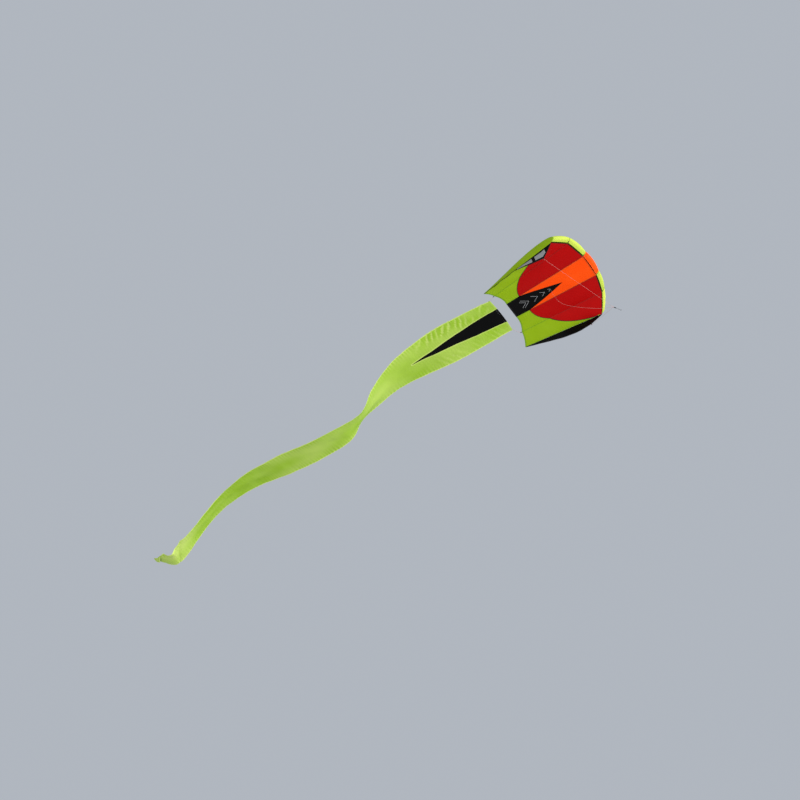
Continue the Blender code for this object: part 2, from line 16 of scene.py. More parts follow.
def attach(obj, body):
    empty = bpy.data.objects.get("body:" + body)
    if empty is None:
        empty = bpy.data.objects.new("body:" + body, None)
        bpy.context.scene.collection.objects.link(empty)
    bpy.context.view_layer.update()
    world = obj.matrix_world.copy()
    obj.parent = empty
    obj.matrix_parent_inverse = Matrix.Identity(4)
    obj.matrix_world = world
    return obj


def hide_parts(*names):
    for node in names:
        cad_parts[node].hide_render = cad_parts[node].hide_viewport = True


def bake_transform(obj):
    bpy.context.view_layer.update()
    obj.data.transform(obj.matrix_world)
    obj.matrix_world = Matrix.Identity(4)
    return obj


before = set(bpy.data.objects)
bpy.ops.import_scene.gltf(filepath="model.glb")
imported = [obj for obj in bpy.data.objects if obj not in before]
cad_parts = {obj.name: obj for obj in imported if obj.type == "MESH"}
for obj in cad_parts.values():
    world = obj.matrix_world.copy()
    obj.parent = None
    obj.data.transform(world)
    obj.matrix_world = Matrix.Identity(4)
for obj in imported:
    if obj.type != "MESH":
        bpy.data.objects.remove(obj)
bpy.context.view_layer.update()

LOG = logging.getLogger("kite")

CLOTH = 0.0006
TAIL_CLOTH = 0.0008
TAPE_SEAT = CLOTH / 2 + 0.0004
TAPE_LIFT = 0.0005
MERGE = 1e-6
X_WAY = Vector((1.0, 0.0, 0.0))
Z_WAY = Vector((0.0, 0.0, 1.0))

Piece = bpy.types.Object
Socket = bpy.types.NodeSocket
Inputs = dict[str | int, Any]


class Side(Enum):
    """Side of the kite seen from behind and above; the value is the sign of X."""

    LEFT = -1.0
    RIGHT = 1.0

    @property
    def label(self) -> str:
        """Word for the side in the names of pieces."""
        return self.name.lower()


class Body(Enum):
    """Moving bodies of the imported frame."""

    CANOPY = "canopy"
    BRIDLE = "bridle"
    SWIVEL = "swivel"
    TAIL_LINES = "tail_lines"
    TAIL = "tail"


class Slot(Enum):
    """Material slots of the record."""

    LIME = "lime_ripstop"
    BRIGHT = "bright_ripstop"
    ORANGE = "orange_ripstop"
    RED = "red_ripstop"
    BLACK = "black_ripstop"
    GREY = "grey_ripstop"
    WEBBING = "black_webbing"
    LINE = "pale_line"
    CORD = "black_cord"
    STEEL = "black_steel"


class Hold(Enum):
    """How the wind or a seam holds a cloth piece."""

    STRETCHED = "stretched"
    HUNG = "hung"


# Finishes

def linear(hex_colour: str) -> tuple[float, float, float, float]:
    """Turn an sRGB hex value to linear light.

    Args:
        hex_colour: Colour such as "#7fb51e".

    Returns:
        Red, green, blue and an alpha of 1.
    """
    parts = [int(hex_colour[k:k + 2], 16) / 255.0 for k in (1, 3, 5)]
    light = [part / 12.92 if part <= 0.04045 else ((part + 0.055) / 1.055) ** 2.4 for part in parts]
    return (*light, 1.0)


def feed(node: bpy.types.Node, inputs: Inputs) -> None:
    """Set the inputs of a node, or link other nodes to them.

    Args:
        node: Node that is fed.
        inputs: Constants or output sockets, by the name or number of the input.
    """
    for place, value in inputs.items():
        if isinstance(value, Socket):
            node.id_data.links.new(value, node.inputs[place])
        else:
            node.inputs[place].default_value = value


def add_node(tree: bpy.types.NodeTree, kind: str, settings: dict[str, Any] | None = None,
             inputs: Inputs | None = None, output: str | int = 0) -> Socket:
    """Add a node with its settings and links.

    Args:
        tree: Node tree that gets the node.
        kind: Type name of the node, without the word ShaderNode.
        settings: Properties of the node by name.
        inputs: Constants or output sockets for its inputs.
        output: Name or number of the output that is wanted.

    Returns:
        That output of the new node.
    """
    node = tree.nodes.new("ShaderNode" + kind)
    for name, value in (settings or {}).items():
        setattr(node, name, value)
    feed(node, inputs or {})
    return node.outputs[output]


MIX_COLOUR = {"data_type": "RGBA"}
MIX_SHARE, MIX_A, MIX_B, MIX_RESULT = 0, 6, 7, 2


@dataclass(frozen=True)
class Finish:
    """What a piece is made of, and its slot in the record."""

    name: str
    slot: Slot | None

    def look(self, tree: bpy.types.NodeTree) -> Inputs:
        """Make the nodes of the material.

        Args:
            tree: Node tree of the material.

        Returns:
            What feeds each input of its shader.
        """
        raise NotImplementedError

    def material(self) -> bpy.types.Material:
        """Make the material, or give it back if it is there.

        Returns:
            The material.
        """
        known = bpy.data.materials.get(self.name)
        if known:
            return known
        material = bpy.data.materials.new(self.name)
        material.use_nodes = True
        tree = material.node_tree
        feed(tree.nodes["Principled BSDF"], self.look(tree))
        return material


@dataclass(frozen=True)
class RipstopNylon(Finish):
    """Silicone-coated ripstop nylon, woven with a heavier thread every few millimetres.

    To the eye it is a clean saturated colour with a soft gloss, a faint square grid, slight
    crinkles from packing, and a denser tone where a hem doubles it; the sunlit, bright and tail
    cloths take a paler second colour instead, which is painted glow of light coming through the cloth.
    """

    cloth: str
    # second colour: the denser tone of a hem's doubling, and on the sunlit, bright and tail cloths a paler
    # painted glow of light through the cloth
    doubled_and_glow: str
    faded: str
    roughness: float = 0.50
    gloss: float = 0.08
    grid: float = 0.010  # real grid is 5 mm; drawn at 10 mm so that it shows near to
    wear: float = 0.22

    def look(self, tree: bpy.types.NodeTree) -> Inputs:
        """Weave the grid, and add the hems' tone and painted glow, uneven dye and crinkles.

        Args:
            tree: Node tree of the material.

        Returns:
            What feeds each input of its shader.
        """
        weave = add_node(tree, "UVMap", {"uv_map": "weave"})
        place = add_node(tree, "TexCoord", output="Object")
        # layers is the share of the second colour: hem doubling on most cloths, painted glow of light through
        # the cloth on the sunlit, bright and tail cloths
        layers = add_node(tree, "Attribute", {"attribute_name": "layers"}, output="Fac")
        grid = add_node(tree, "TexBrick", {"offset": 0.0, "squash": 1.0},
                        {"Vector": weave, "Scale": 1.0 / self.grid, "Mortar Size": 0.05, "Mortar Smooth": 0.4,
                         "Brick Width": 1.0, "Row Height": 1.0}, "Fac")
        # dye and sun give the cloth broad uneven tones of 15 to 20 cm
        tones = add_node(tree, "TexNoise", None, {"Vector": place, "Scale": 6.0, "Detail": 3.0}, "Fac")
        # crinkles from packing are 12 to 20 mm apart
        crinkle = add_node(tree, "TexNoise", None,
                           {"Vector": place, "Scale": 60.0, "Detail": 2.0, "Roughness": 0.45}, "Fac")
        fade = add_node(tree, "MapRange", None,
                        {"Value": tones, "From Min": 0.42, "From Max": 0.72, "To Max": self.wear})
        # mix towards the second colour: a hem's denser tone, and painted glow on the sunlit, bright and tail
        # cloths
        hem_and_glow = add_node(tree, "Mix", MIX_COLOUR,
                         {MIX_SHARE: layers, MIX_A: linear(self.cloth), MIX_B: linear(self.doubled_and_glow)},
                         MIX_RESULT)
        worn = add_node(tree, "Mix", MIX_COLOUR,
                        {MIX_SHARE: fade, MIX_A: hem_and_glow, MIX_B: linear(self.faded)}, MIX_RESULT)
        threads = add_node(tree, "Math", {"operation": "MULTIPLY"}, {0: grid, 1: 0.22})
        woven = add_node(tree, "Mix", MIX_COLOUR,
                         {MIX_SHARE: threads, MIX_A: worn, MIX_B: linear(self.doubled_and_glow)}, MIX_RESULT)
        gloss = add_node(tree, "MapRange", None,
                         {"Value": crinkle, "From Min": 0.3, "From Max": 0.7,
                          "To Min": self.roughness - 0.06, "To Max": self.roughness + 0.10})
        height = add_node(tree, "Math", {"operation": "MULTIPLY_ADD"}, {0: grid, 1: 0.15, 2: crinkle})
        bump = add_node(tree, "Bump", None, {"Height": height, "Strength": 0.35, "Distance": 0.0025})
        return {"Base Color": woven, "Roughness": gloss, "Normal": bump, "Specular IOR Level": self.gloss}


@dataclass(frozen=True)
class StitchedTape(Finish):
    """Folded seam or binding of ripstop with two rows of lockstitch.

    To the eye it is a narrow denser band with dashes of thread along both of its edges.
    """

    band: str
    thread: str
    row: float = 0.0022
    pitch: float = 0.007  # real stitches are 3 mm apart; drawn at 7 mm so that they show near to
    thread_width: float = 0.0008
    thread_share: float = 0.68
    roughness: float = 0.62
    gloss: float = 0.15

    def look(self, tree: bpy.types.NodeTree) -> Inputs:
        """Stitch both rows along the band and rub its fold.

        Args:
            tree: Node tree of the material.

        Returns:
            What feeds each input of its shader.
        """
        weave = add_node(tree, "UVMap", {"uv_map": "weave"})
        across = add_node(tree, "SeparateXYZ", None, {0: weave}, "X")
        away = add_node(tree, "Math", {"operation": "ABSOLUTE"}, {0: across})
        on_row = add_node(tree, "Math", {"operation": "COMPARE"},
                          {0: away, 1: self.row, 2: self.thread_width / 2})
        steps = add_node(tree, "Math", {"operation": "DIVIDE"}, {0: across.node.outputs["Y"], 1: self.pitch})
        part_step = add_node(tree, "Math", {"operation": "FRACT"}, {0: steps})
        on_stitch = add_node(tree, "Math", {"operation": "LESS_THAN"}, {0: part_step, 1: self.thread_share})
        stitch = add_node(tree, "Math", {"operation": "MULTIPLY"}, {0: on_row, 1: on_stitch})
        place = add_node(tree, "TexCoord", output="Object")
        # the folded edge wears pale in places a few centimetres long
        rub = add_node(tree, "TexNoise", None, {"Vector": place, "Scale": 28.0, "Detail": 3.0}, "Fac")
        rubbed = add_node(tree, "MapRange", None,
                          {"Value": rub, "From Min": 0.50, "From Max": 0.75, "To Max": 0.25})
        worn = add_node(tree, "Mix", MIX_COLOUR,
                        {MIX_SHARE: rubbed, MIX_A: linear(self.band), MIX_B: linear(self.thread)}, MIX_RESULT)
        threaded = add_node(tree, "Mix", MIX_COLOUR,
                            {MIX_SHARE: stitch, MIX_A: worn, MIX_B: linear(self.thread)}, MIX_RESULT)
        bump = add_node(tree, "Bump", None, {"Height": stitch, "Strength": 0.5, "Distance": 0.0004})
        return {"Base Color": threaded, "Normal": bump, "Roughness": self.roughness,
                "Specular IOR Level": self.gloss}


@dataclass(frozen=True)
class BraidedFibre(Finish):
    """Braided polyester line or woven polyester tape.

    To the eye it is a matt strand with slanting plaits that catch a little light.
    """

    strand: str
    shadow: str
    plait: float
    roughness: float = 0.7

    def look(self, tree: bpy.types.NodeTree) -> Inputs:
        """Cross two slanting waves, one plait long, over each other.

        Args:
            tree: Node tree of the material.

        Returns:
            What feeds each input of its shader.
        """
        place = add_node(tree, "TexCoord", output="Object")
        plaits = []
        for lean in (1.0, -1.0):
            turn = (math.radians(45.0) * lean, 0.0, math.radians(30.0) * lean)
            slant = add_node(tree, "Mapping", None, {"Vector": place, "Rotation": turn})
            # a wave texture of scale 1 repeats every 0.314 m
            waves = {"Vector": slant, "Scale": 0.314 / self.plait, "Distortion": 0.6, "Detail": 1.0}
            plaits.append(add_node(tree, "TexWave", {"bands_direction": "Z"}, waves, "Fac"))
        over = add_node(tree, "Math", {"operation": "MAXIMUM"}, dict(enumerate(plaits)))
        colour = add_node(tree, "Mix", MIX_COLOUR,
                          {MIX_SHARE: over, MIX_A: linear(self.shadow), MIX_B: linear(self.strand)},
                          MIX_RESULT)
        bump = add_node(tree, "Bump", None, {"Height": over, "Strength": 0.6, "Distance": self.plait / 4})
        return {"Base Color": colour, "Normal": bump, "Roughness": self.roughness, "Sheen Weight": 0.2}


@dataclass(frozen=True)
class BlackenedSteel(Finish):
    """Turned steel with a black oxide finish, rubbed bright at its rims.

    To the eye it is a dark satin metal with a few pale rubs.
    """

    oxide: str
    rubbed: str
    roughness: float = 0.34

    def look(self, tree: bpy.types.NodeTree) -> Inputs:
        """Rub the oxide in spots of 2 to 3 mm.

        Args:
            tree: Node tree of the material.

        Returns:
            What feeds each input of its shader.
        """
        place = add_node(tree, "TexCoord", output="Object")
        rub = add_node(tree, "TexNoise", None, {"Vector": place, "Scale": 420.0, "Detail": 4.0}, "Fac")
        worn = add_node(tree, "MapRange", None,
                        {"Value": rub, "From Min": 0.60, "From Max": 0.80, "To Max": 0.35})
        colour = add_node(tree, "Mix", MIX_COLOUR,
                          {MIX_SHARE: worn, MIX_A: linear(self.oxide), MIX_B: linear(self.rubbed)},
                          MIX_RESULT)
        gloss = add_node(tree, "MapRange", None,
                         {"Value": rub, "From Min": 0.3, "From Max": 0.7,
                          "To Min": self.roughness, "To Max": self.roughness + 0.16})
        return {"Base Color": colour, "Roughness": gloss, "Metallic": 1.0}


@dataclass(frozen=True)
class PlainPaint(Finish):
    """Matt studio paint, pale and even."""

    colour: str
    roughness: float = 0.9

    def look(self, tree: bpy.types.NodeTree) -> Inputs:
        """Colour and roughness, with no node."""
        return {"Base Color": linear(self.colour), "Roughness": self.roughness}


LIME = RipstopNylon("lime_ripstop_nylon", Slot.LIME, "#8cae10", "#6a8c0e", "#9fc02c")
# SUNLIT_LIME is a lit copy of LIME whose paler second colour is painted glow where light comes through the
# nose; BRIGHT's paler second colour gives the same painted glow on the right panel's nose
SUNLIT_LIME = RipstopNylon("sunlit_lime_ripstop_nylon", Slot.LIME, "#8cb01c", "#b7c650", "#9cbc34")
BRIGHT = RipstopNylon("bright_lime_ripstop_nylon", Slot.BRIGHT, "#b0c62a", "#c2ce58", "#bccf44")
# the tail's cloth is painted brighter than LIME for light coming through it from behind; its pale second
# colour is painted glow on fold crests and a painted highlight along its edges
BACKLIT_TAIL_LIME = RipstopNylon("tail_lime_ripstop_nylon", Slot.BRIGHT, "#94bf26", "#d4e880", "#b0d654",
                         wear=0.45)
ORANGE = RipstopNylon("orange_ripstop_nylon", Slot.ORANGE, "#fa4c02", "#cf3603", "#ff6418")
RED = RipstopNylon("red_ripstop_nylon", Slot.RED, "#ac0202", "#720202", "#bc0806")
BLACK = RipstopNylon("black_ripstop_nylon", Slot.BLACK, "#070708", "#040404", "#101012", gloss=0.06)
GREY = RipstopNylon("grey_ripstop_nylon", Slot.GREY, "#909294", "#737577", "#9c9ea0")

LIME_SEAM = StitchedTape("lime_felled_seam", Slot.LIME, "#6f9712", "#a6c838")
BRIGHT_SEAM = StitchedTape("bright_lime_felled_seam", Slot.BRIGHT, "#9cbc24", "#d6ea6a")
ORANGE_SEAM = StitchedTape("orange_felled_seam", Slot.ORANGE, "#c43a04", "#ff8a40")
RED_SEAM = StitchedTape("red_felled_seam", Slot.RED, "#8a0707", "#c83028")
BLACK_BINDING = StitchedTape("black_edge_binding", Slot.WEBBING, "#131315", "#3a3a3e")
GREY_PIPING = StitchedTape("grey_chevron_piping", Slot.GREY, "#8b8d90", "#b4b6b8", row=0.0012)

PINK_LINE = BraidedFibre("braided_pink_line", Slot.LINE, "#d69d99", "#9c6664", 0.0011)
BLACK_CORD = BraidedFibre("braided_black_cord", Slot.CORD, "#2a2a2e", "#08080a", 0.0014)
WEBBING = BraidedFibre("woven_black_webbing", Slot.WEBBING, "#26262a", "#09090a", 0.0016)
STEEL = BlackenedSteel("blackened_swivel_steel", Slot.STEEL, "#2c2d30", "#8d9096")


# Curves

def smooth_step(value: float, low: float, high: float) -> float:
    """Blend from 0 at low to 1 at high."""
    share = min(1.0, max(0.0, (value - low) / (high - low)))
    return share * share * (3.0 - 2.0 * share)


def hill(value: float, foot: float, top: float, brow: float, end: float) -> float:
    """Blend from 0 at foot to 1 at top, and from 1 at brow back to 0 at end."""
    return smooth_step(value, foot, top) * (1.0 - smooth_step(value, brow, end))


def wander(*place: float) -> float:
    """Read smooth noise, from -1 to 1, at a place of three numbers."""
    return noise.noise(Vector(place))


def distances(points: np.ndarray) -> np.ndarray:
    """Distance along a path at each of its points."""
    return np.concatenate([[0.0], np.cumsum(np.linalg.norm(np.diff(points, axis=0), axis=1))])


def smooth_curve(points: Sequence[Sequence[float]], position: float) -> np.ndarray:
    """Read a cubic through points at a position counted in points.

    Args:
        points: Points on the curve.
        position: 0 at the first point, 1 at the second and so on.

    Returns:
        Point of the curve.
    """
    knots = np.asarray(points, dtype=float)
    padded = np.vstack([2 * knots[0] - knots[1], knots, 2 * knots[-1] - knots[-2]])
    span = min(max(int(position), 0), len(knots) - 2)
    t = position - span
    a, b, c, d = padded[span:span + 4]
    return 0.5 * (2 * b + (c - a) * t + (2 * a - 5 * b + 4 * c - d) * t ** 2
                  + (3 * b - a - 3 * c + d) * t ** 3)


def even_points(points: Sequence[Sequence[float]], count: int) -> tuple[np.ndarray, np.ndarray]:
    """Read points at even distances along the smooth curve through points.

    Args:
        points: Points whose first two numbers are lengths.
        count: Number of points wanted.

    Returns:
        The points, and their distances along the curve.
    """
    fine = np.array([smooth_curve(points, position)
                     for position in np.linspace(0.0, len(points) - 1.0, 40 * len(points))])
    way = distances(fine[:, :2])
    targets = np.linspace(0.0, way[-1], count)
    return np.stack([np.interp(targets, way, column) for column in fine.T], axis=1), targets


def straight(start: Vector, end: Vector, count: int) -> list[Vector]:
    """Evenly spaced points from start to end."""
    return [start.lerp(end, step / (count - 1)) for step in range(count)]


def helix(ends: tuple[Vector, Vector], radius: float, turns: float, count: int,
          phase: float = 0.0) -> list[Vector]:
    """Points of a strand that winds round a line.

    Args:
        ends: Start and end of the line.
        radius: Distance of the points from the line.
        turns: Number of turns.
        count: Number of points.
        phase: Angle at which it starts.

    Returns:
        The points.
    """
    other = (ends[1] - ends[0]).normalized().cross(X_WAY)
    points = []
    for step, middle in enumerate(straight(*ends, count)):
        angle = phase + 2.0 * math.pi * turns * step / (count - 1)
        points.append(middle + (X_WAY * math.cos(angle) + other * math.sin(angle)) * radius)
    return points


# Pieces

@dataclass(frozen=True)
class Puckers:
    """Small waves that a row of stitches pulls into cloth."""

    depth: float
    length: float
    reach: float
    seed: float = 0.0

    def wave(self, along: float) -> float:
        """Unsteady wave from -1 to 1 at a distance along the seam."""
        strength = 0.65 + 0.7 * wander(along * 5.0, self.seed + 4.1, 1.9)
        turn = 2.0 * math.pi * along / self.length + 4.0 * wander(along * 9.0, self.seed, 0.37)
        return strength * math.sin(turn)

    def beside(self, away: float, along: float) -> float:
        """Rise of cloth beside a seam that itself stays flat."""
        share = away / self.reach
        return self.depth * self.wave(along) * share * math.exp(1.0 - share)

    def at_edge(self, away: float, along: float) -> float:
        """Rise of cloth at a free edge, where the waves are highest."""
        return self.depth * self.wave(along) * math.exp(-away / self.reach)


@dataclass(frozen=True)
class Swell:
    """Smooth rise of cloth about a line, which is a hollow where its height is below 0."""

    height: float
    middle: float
    reach: float

    def at(self, place: float) -> float:
        """Rise at a place across the line."""
        return self.height * math.exp(-((place - self.middle) / self.reach) ** 2)


@dataclass(frozen=True)
class Cut:
    """One point of a cloth piece: where it is, where it lies in the weave, and its layers share: a hem's
    doubling on most pieces, painted glow of light through the cloth on the sunlit nose and the tail.
    """

    place: Vector
    weave: tuple[float, float]
    layers: float = 0.0


# A cut rule gives the point of a cloth piece from its place across and along it, 0 to 1.
CutRule = Callable[[float, float], Cut]


def in_scene(name: str, data: bpy.types.ID) -> Piece:
    """Put a mesh, curve, light or camera in the scene."""
    piece = bpy.data.objects.new(name, data)
    bpy.context.scene.collection.objects.link(piece)
    return piece


def placed(name: str, shape: bmesh.types.BMesh, finish: Finish, body: Body | None) -> Piece:
    """Turn a bmesh into a piece that wears a finish and rides on a body.

    Args:
        name: Name of the piece.
        shape: Shape in the row frame; it is freed.
        finish: What the piece is made of.
        body: Moving body that carries it, or None for a piece that hangs between two bodies and is left on
            neither.

    Returns:
        The new piece.
    """
    mesh = bpy.data.meshes.new(name)
    shape.to_mesh(mesh)
    shape.free()
    mesh.shade_smooth()
    mesh.set_sharp_from_angle(angle=math.radians(48.0))
    mesh.materials.append(finish.material())
    piece = in_scene(name, mesh)
    if body:
        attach(piece, body.value)
    return piece


@dataclass
class ClothMaker:
    """Cloth piece that grows by grids laid on surfaces, and is then given its thickness."""

    name: str
    finish: Finish
    body: Body = Body.CANOPY

    def __post_init__(self) -> None:
        """Start an empty shape with its weave and its layers share, which marks hem doubling and painted
        glow.
        """
        self.shape = bmesh.new()
        self.weave = self.shape.loops.layers.uv.new("weave")
        self.layers = self.shape.verts.layers.float.new("layers")

    def lay(self, columns: int, rows: int, cut: CutRule) -> "ClothMaker":
        """Lay a grid on a surface.

        Args:
            columns: Faces across.
            rows: Faces along.
            cut: Rule of the surface.

        Returns:
            The cloth piece itself.
        """
        made = bmesh.ops.create_grid(self.shape, x_segments=columns, y_segments=rows, size=0.5)
        for vert in made["verts"]:
            spot = cut(vert.co.x + 0.5, vert.co.y + 0.5)
            vert.co = spot.place
            vert[self.layers] = spot.layers
            for loop in vert.link_loops:
                loop[self.weave].uv = spot.weave
        return self

    def piece(self, thickness: float = CLOTH, join: float = 0.0) -> Piece:
        """Close the cloth and put it in the scene on its body.

        Args:
            thickness: Thickness of the cloth.
            join: Distance under which points of neighbouring grids are joined.

        Returns:
            The finished piece.
        """
        if join:
            bmesh.ops.remove_doubles(self.shape, verts=self.shape.verts, dist=join)
        bmesh.ops.recalc_face_normals(self.shape, faces=self.shape.faces)
        bmesh.ops.solidify(self.shape, geom=self.shape.faces[:], thickness=thickness)
        bmesh.ops.recalc_face_normals(self.shape, faces=self.shape.faces)
        return placed(self.name, self.shape, self.finish, self.body)


def cut_size(cut: CutRule, steps: int = 40) -> tuple[tuple[float, float], float]:
    """Measure the flat size that a cloth piece is cut to.

    Args:
        cut: Rule of the piece.
        steps: Samples each way.

    Returns:
        Width and length of the cut in its weave, and its area.
    """
    cuts = [[cut(c / steps, r / steps) for c in range(steps + 1)] for r in range(steps + 1)]
    grid = np.array([[spot.place for spot in row] for row in cuts])
    weave = np.array([[spot.weave for spot in row] for row in cuts]).reshape(-1, 2)
    width, length = np.ptp(weave, axis=0)
    diagonals = np.cross(grid[1:, 1:] - grid[:-1, :-1], grid[1:, :-1] - grid[:-1, 1:])
    area = 0.5 * np.linalg.norm(diagonals, axis=2).sum()
    return (float(width), float(length)), float(min(area, width * length))


def declare_sheet(piece: Piece, flat: tuple[float, float], area: float, trims: Iterable[Piece],
                  hold: Hold) -> None:
    """Log the size and area that a piece of cloth is cut to.

    Args:
        piece: The cloth.
        flat: Width and length that it is cut to.
        area: Its area when flat.
        trims: Pieces sewn on it.
        hold: What holds it; not used.
    """
    list(trims)
    LOG.info("%s is cut to %.3f x %.3f m, %.4f m2", piece.name, *flat, area)


def sewn(node: str, finish: Finish, grid: tuple[int, int], cut: CutRule, trims: Iterable[Piece] = (),
         body: Body = Body.CANOPY, hold: Hold = Hold.STRETCHED, thickness: float = CLOTH) -> Piece:
    """Args:
        node: CAD node that it replaces.
        finish: What it is made of.
        grid: Faces across and along.
        cut: Rule that gives its shape.
        trims: Pieces sewn on it.
        body: Moving body that carries it.
        hold: What holds it.
        thickness: Thickness of the cloth.

    Returns:
        The cloth.
    """
    piece = ClothMaker(node + "_cloth", finish, body).lay(*grid, cut).piece(thickness)
    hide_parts(node)
    declare_sheet(piece, *cut_size(cut), trims, hold)
    return piece


@dataclass(frozen=True)
class Strand:
    """Round strand along points, which may run back into its own start."""

    points: Sequence[Vector]
    radius: float
    closed: bool = False

    def add_to(self, shape: bmesh.types.BMesh) -> None:
        """Make the strand as a curve and add its mesh to a shape.

        Args:
            shape: Shape that gets it.
        """
        curve = bpy.data.curves.new("strand", "CURVE")
        curve.dimensions = "3D"
        curve.bevel_depth = self.radius
        curve.bevel_resolution = 2
        curve.use_fill_caps = not self.closed
        spline = curve.splines.new("POLY")
        spline.points.add(len(self.points) - 1)
        for point, spot in zip(spline.points, self.points):
            point.co = (*spot, 1.0)
        spline.use_cyclic_u = self.closed
        carrier = in_scene("strand", curve)
        mesh = bpy.data.meshes.new_from_object(
            carrier.evaluated_get(bpy.context.evaluated_depsgraph_get()))
        bpy.data.objects.remove(carrier, do_unlink=True)
        bpy.data.curves.remove(curve)
        shape.from_mesh(mesh)
        bpy.data.meshes.remove(mesh)


def corded(name: str, parts: Iterable[Strand], finish: Finish, body: Body | None, node: str) -> Piece:
    """Join several strands in one piece that stands for a CAD node.

    Args:
        name: Name of the piece.
        parts: Its strands.
        finish: What they are made of.
        body: Moving body that carries the piece, or None.
        node: The CAD node.

    Returns:
        The new piece.
    """
    shape = bmesh.new()
    for part in parts:
        part.add_to(shape)
    bmesh.ops.remove_doubles(shape, verts=shape.verts, dist=MERGE)
    bmesh.ops.recalc_face_normals(shape, faces=shape.faces)
    piece = placed(name, shape, finish, body)
    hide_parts(node)
    return piece


def knot(centre: Vector, along: Vector, radius: float, line_radius: float) -> Strand:
    """Overhand knot drawn tight about a line.

    Args:
        centre: Middle of the knot.
        along: Direction of the line that leaves it.
        radius: Radius of the knot.
        line_radius: Radius of its own strand.

    Returns:
        The knot as a closed strand.
    """
    turn = Z_WAY.rotation_difference(along.normalized())
    points = []
    for t in np.linspace(0.0, 2.0 * math.pi, 54, endpoint=False):
        spot = Vector((math.sin(t) + 2.0 * math.sin(2.0 * t), math.cos(t) - 2.0 * math.cos(2.0 * t),
                       -1.3 * math.sin(3.0 * t)))
        points.append(centre + turn @ (spot * (radius / 3.0)))
    return Strand(points, line_radius, True)


def tied_line(name: str, node: str, ends: tuple[Vector, Vector], count: int, radius: float,
              knots: Iterable[tuple[Vector, float]], body: Body) -> Piece:
    """Stretch a straight line with knots on it.

    Args:
        name: Name of the piece.
        node: CAD node that it stands for.
        ends: Both ends of the line.
        count: Points of the line.
        radius: Radius of the line; the knots' strands are a fifth thinner.
        knots: Middle and radius of each knot.
        body: Moving body that carries it.

    Returns:
        The line.
    """
    way = (ends[1] - ends[0]).normalized()
    parts = [Strand(straight(*ends, count), radius)]
    parts += [knot(spot, way, size, radius * 0.8) for spot, size in knots]
    return corded(name, parts, PINK_LINE, body, node)


def turned(start: Vector, way: Vector, profile: Sequence[tuple[float, float]]) -> bmesh.types.BMesh:
    """Spin an outline about a line.

    Args:
        start: Point of the line where the outline's distances start.
        way: Direction of the line.
        profile: Radius and distance of each point, the first and last on the line.

    Returns:
        The turned shape.
    """
    shape = bmesh.new()
    verts = [shape.verts.new((radius, 0.0, along)) for radius, along in profile]
    edges = [shape.edges.new(pair) for pair in zip(verts, verts[1:])]
    bmesh.ops.spin(shape, geom=verts + edges, cent=(0, 0, 0), axis=(0, 0, 1),
                   angle=2 * math.pi, steps=28, use_merge=True)
    turn = Z_WAY.rotation_difference(way.normalized())
    bmesh.ops.transform(shape, matrix=Matrix.Translation(start) @ turn.to_matrix().to_4x4(),
                        verts=shape.verts)
    bmesh.ops.remove_doubles(shape, verts=shape.verts, dist=MERGE)
    bmesh.ops.recalc_face_normals(shape, faces=shape.faces)
    return shape


# Studio

@dataclass(frozen=True)
class Softbox:
    """Large square soft light."""

    name: str
    spot: tuple[float, float, float]
    aim: tuple[float, float, float]
    size: float
    power: float
    tint: str


